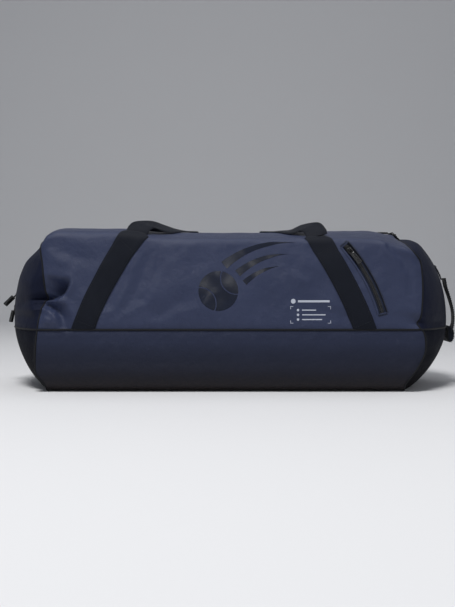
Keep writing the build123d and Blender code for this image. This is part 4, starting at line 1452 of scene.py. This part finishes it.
def crescent(side):
    """The ball outside one of its seams: the seam's arc and the ball's edge."""
    r = BALL[2]
    out, seam_r = (share * r for share in BALL_SEAM)
    a = np.linspace(0, 2 * math.pi, 720)
    if side < 0:
        a = np.sort(np.where(a > math.pi, a - 2 * math.pi, a))
    seam = stack(side * out + seam_r * np.cos(a), seam_r * np.sin(a))
    seam = seam[np.hypot(*seam.T) < r]
    first, last = (math.atan2(z, x) for x, z in (seam[0], seam[-1]))
    if side < 0:
        first, last = first % (2 * math.pi), last % (2 * math.pi)
    rim = np.linspace(last, first, 24)[1:-1]
    return on_ball(np.concatenate([seam[:: max(1, len(seam) // 30)], r * stack(np.cos(rim), np.sin(rim))]))


def ball_middle(gap=2.0):
    """The ball less both crescents and a narrow seam gap."""
    r = BALL[2]
    out, seam_r = BALL_SEAM[0] * r, BALL_SEAM[1] * r + gap
    kept = []
    for a in circle(160):
        x, z = r * math.cos(a), r * math.sin(a)
        for side in (-1, 1):
            if math.hypot(x - side * out, z) < seam_r:
                x = side * (out - math.sqrt(max(seam_r**2 - z**2, 0)))
        if not kept or math.hypot(x - kept[-1][0], z - kept[-1][1]) > 0.4:
            kept.append((x, z))
    return on_ball(kept)


def streak(start, mid, end, w0, w1):
    """A tapered, bowed trail."""
    t = np.linspace(0, 1, 40)[:, None]
    a, b, c = (np.array(p, float) for p in (start, mid, end))
    line = (1 - t) ** 2 * a + 2 * t * (1 - t) * b + t**2 * c
    d = unit(np.gradient(line, axis=0))
    half = stack(-d[:, 1], d[:, 0]) * (w0 + (w1 - w0) * t) * np.minimum(1, 0.06 + 3.0 * t) / 2
    return np.concatenate([line + half, (line - half)[::-1]])


shapes = [crescent(-1), crescent(1), ball_middle()]
shapes += [
    streak((112, 256), (40, 260), (-10, 217), 2, 15),
    streak((100, 236), (52, 236), (13, 203), 2, 13),
    streak((84, 215), (52, 212), (25, 187), 1.5, 10),
]
prints = [flat_shape(f"gloss_{i}", shape, "print", 0.28) for i, shape in enumerate(shapes)]
set_piece(join("gloss_graphic", *prints), "bag")


def label_marks():
    """A plain label: four corner brackets, three dotted lines, and a dot and a bar over them."""
    x0, z0, x1, z1 = 103.0, 118.0, 172.0, 147.0
    arm, line = 5, 0.8
    bracket = np.array([(0, 0), (arm, 0), (arm, line), (line, line), (line, arm), (0, arm)])
    marks = []
    for cz, hz in ((z0, 1), (z1, -1)):
        marks += [bracket * (hx, hz) + (cx, cz) for cx, hx in ((x0, 1), (x1, -1))]

    def dot(cx, cz, r, n):
        a = circle(n)
        return stack(cx + r * np.cos(a), cz + r * np.sin(a))

    def bar(left, low, right, high):
        return [(left, low), (right, low), (right, high), (left, high)]

    for i, length in enumerate((24, 40, 34)):
        z = z1 - 6.5 - i * 8.0
        marks += [dot(x0 + 13, z, 2.1, 24), bar(x0 + 20, z - 0.9, x0 + 20 + length, z + 0.9)]
    return marks + [dot(x0 + 5, z1 + 8.5, 4.0, 32), bar(x0 + 13, z1 + 6.6, x1 - 2, z1 + 10.2)]


label = [flat_shape(f"label_{i}", mark, "ink", 0.22, cell=12.0) for i, mark in enumerate(label_marks())]
set_piece(join("small_label", *label), "bag")


# ------------------------------------------------------------------ setting
def stage_floor():
    """A pale floor that curves up into a plain backdrop."""
    bend = np.linspace(0.1, math.pi / 2, 12)
    ys = np.concatenate([np.linspace(-3.2, 2.6, 20), 2.6 + 1.6 * np.sin(bend), np.full(8, 4.2)])
    zs = np.concatenate([np.zeros(20), 1.6 - 1.6 * np.cos(bend), np.linspace(2.0, 6.0, 8)])
    verts = [(x, y, z) for y, z in zip(ys, zs) for x in (-7.0, 7.0)]
    faces = [(2 * i, 2 * i + 1, 2 * i + 3, 2 * i + 2) for i in range(len(ys) - 1)]
    mesh = bpy.data.meshes.new("floor")
    mesh.from_pydata(verts, [], faces)
    for p in mesh.polygons:
        p.use_smooth = True
    mesh.materials.append(Finish("pale floor").done(Base_Color=(0.72, 0.72, 0.73, 1), Roughness=0.85))
    link_mesh("floor", mesh)


def lamp(name, at, aim, size, power):
    data = bpy.data.lights.new(name, "AREA")
    data.shape = "RECTANGLE"
    data.size, data.size_y = size
    data.energy = power
    obj = bpy.data.objects.new(name, data)
    obj.location = at
    obj.rotation_euler = (Vector(aim) - Vector(at)).to_track_quat("-Z", "Y").to_euler()
    bpy.context.collection.objects.link(obj)


def light_and_camera():
    lamp("key", (-0.45, -1.45, 2.8), (0, 0, 0.1), (0.9, 0.9), 80)
    lamp("fill", (2.2, -2.4, 1.5), (0.1, 0, 0.15), (1.2, 1.2), 6)
    lamp("top", (0.2, 0.9, 2.8), (0, 0, 0.1), (2.4, 1.2), 10)
    lamp("glint", (0.16, -3.0, 0.98), (-0.02, -0.15, 0.17), (0.10, 0.3), 0.8)
    world = bpy.data.worlds.new("studio")
    bpy.context.scene.world = world
    world.use_nodes = True
    back = next(n for n in world.node_tree.nodes if n.type == "BACKGROUND")
    back.inputs[0].default_value = (0.80, 0.84, 0.92, 1)
    back.inputs[1].default_value = 0.25
    data = bpy.data.cameras.new("camera")
    data.sensor_width = 36.0
    data.lens = 55.7
    data.shift_x, data.shift_y = -2.5 / 607, -23.5 / 607
    data.dof.use_dof = False
    cam = bpy.data.objects.new("camera", data)
    cam.location = (0.0, -1.765, 0.192)
    cam.rotation_euler = (math.pi / 2, 0, 0)
    bpy.context.collection.objects.link(cam)
    bpy.context.scene.camera = cam
    bpy.context.scene.view_settings.view_transform = "Standard"


stage_floor()
light_and_camera()
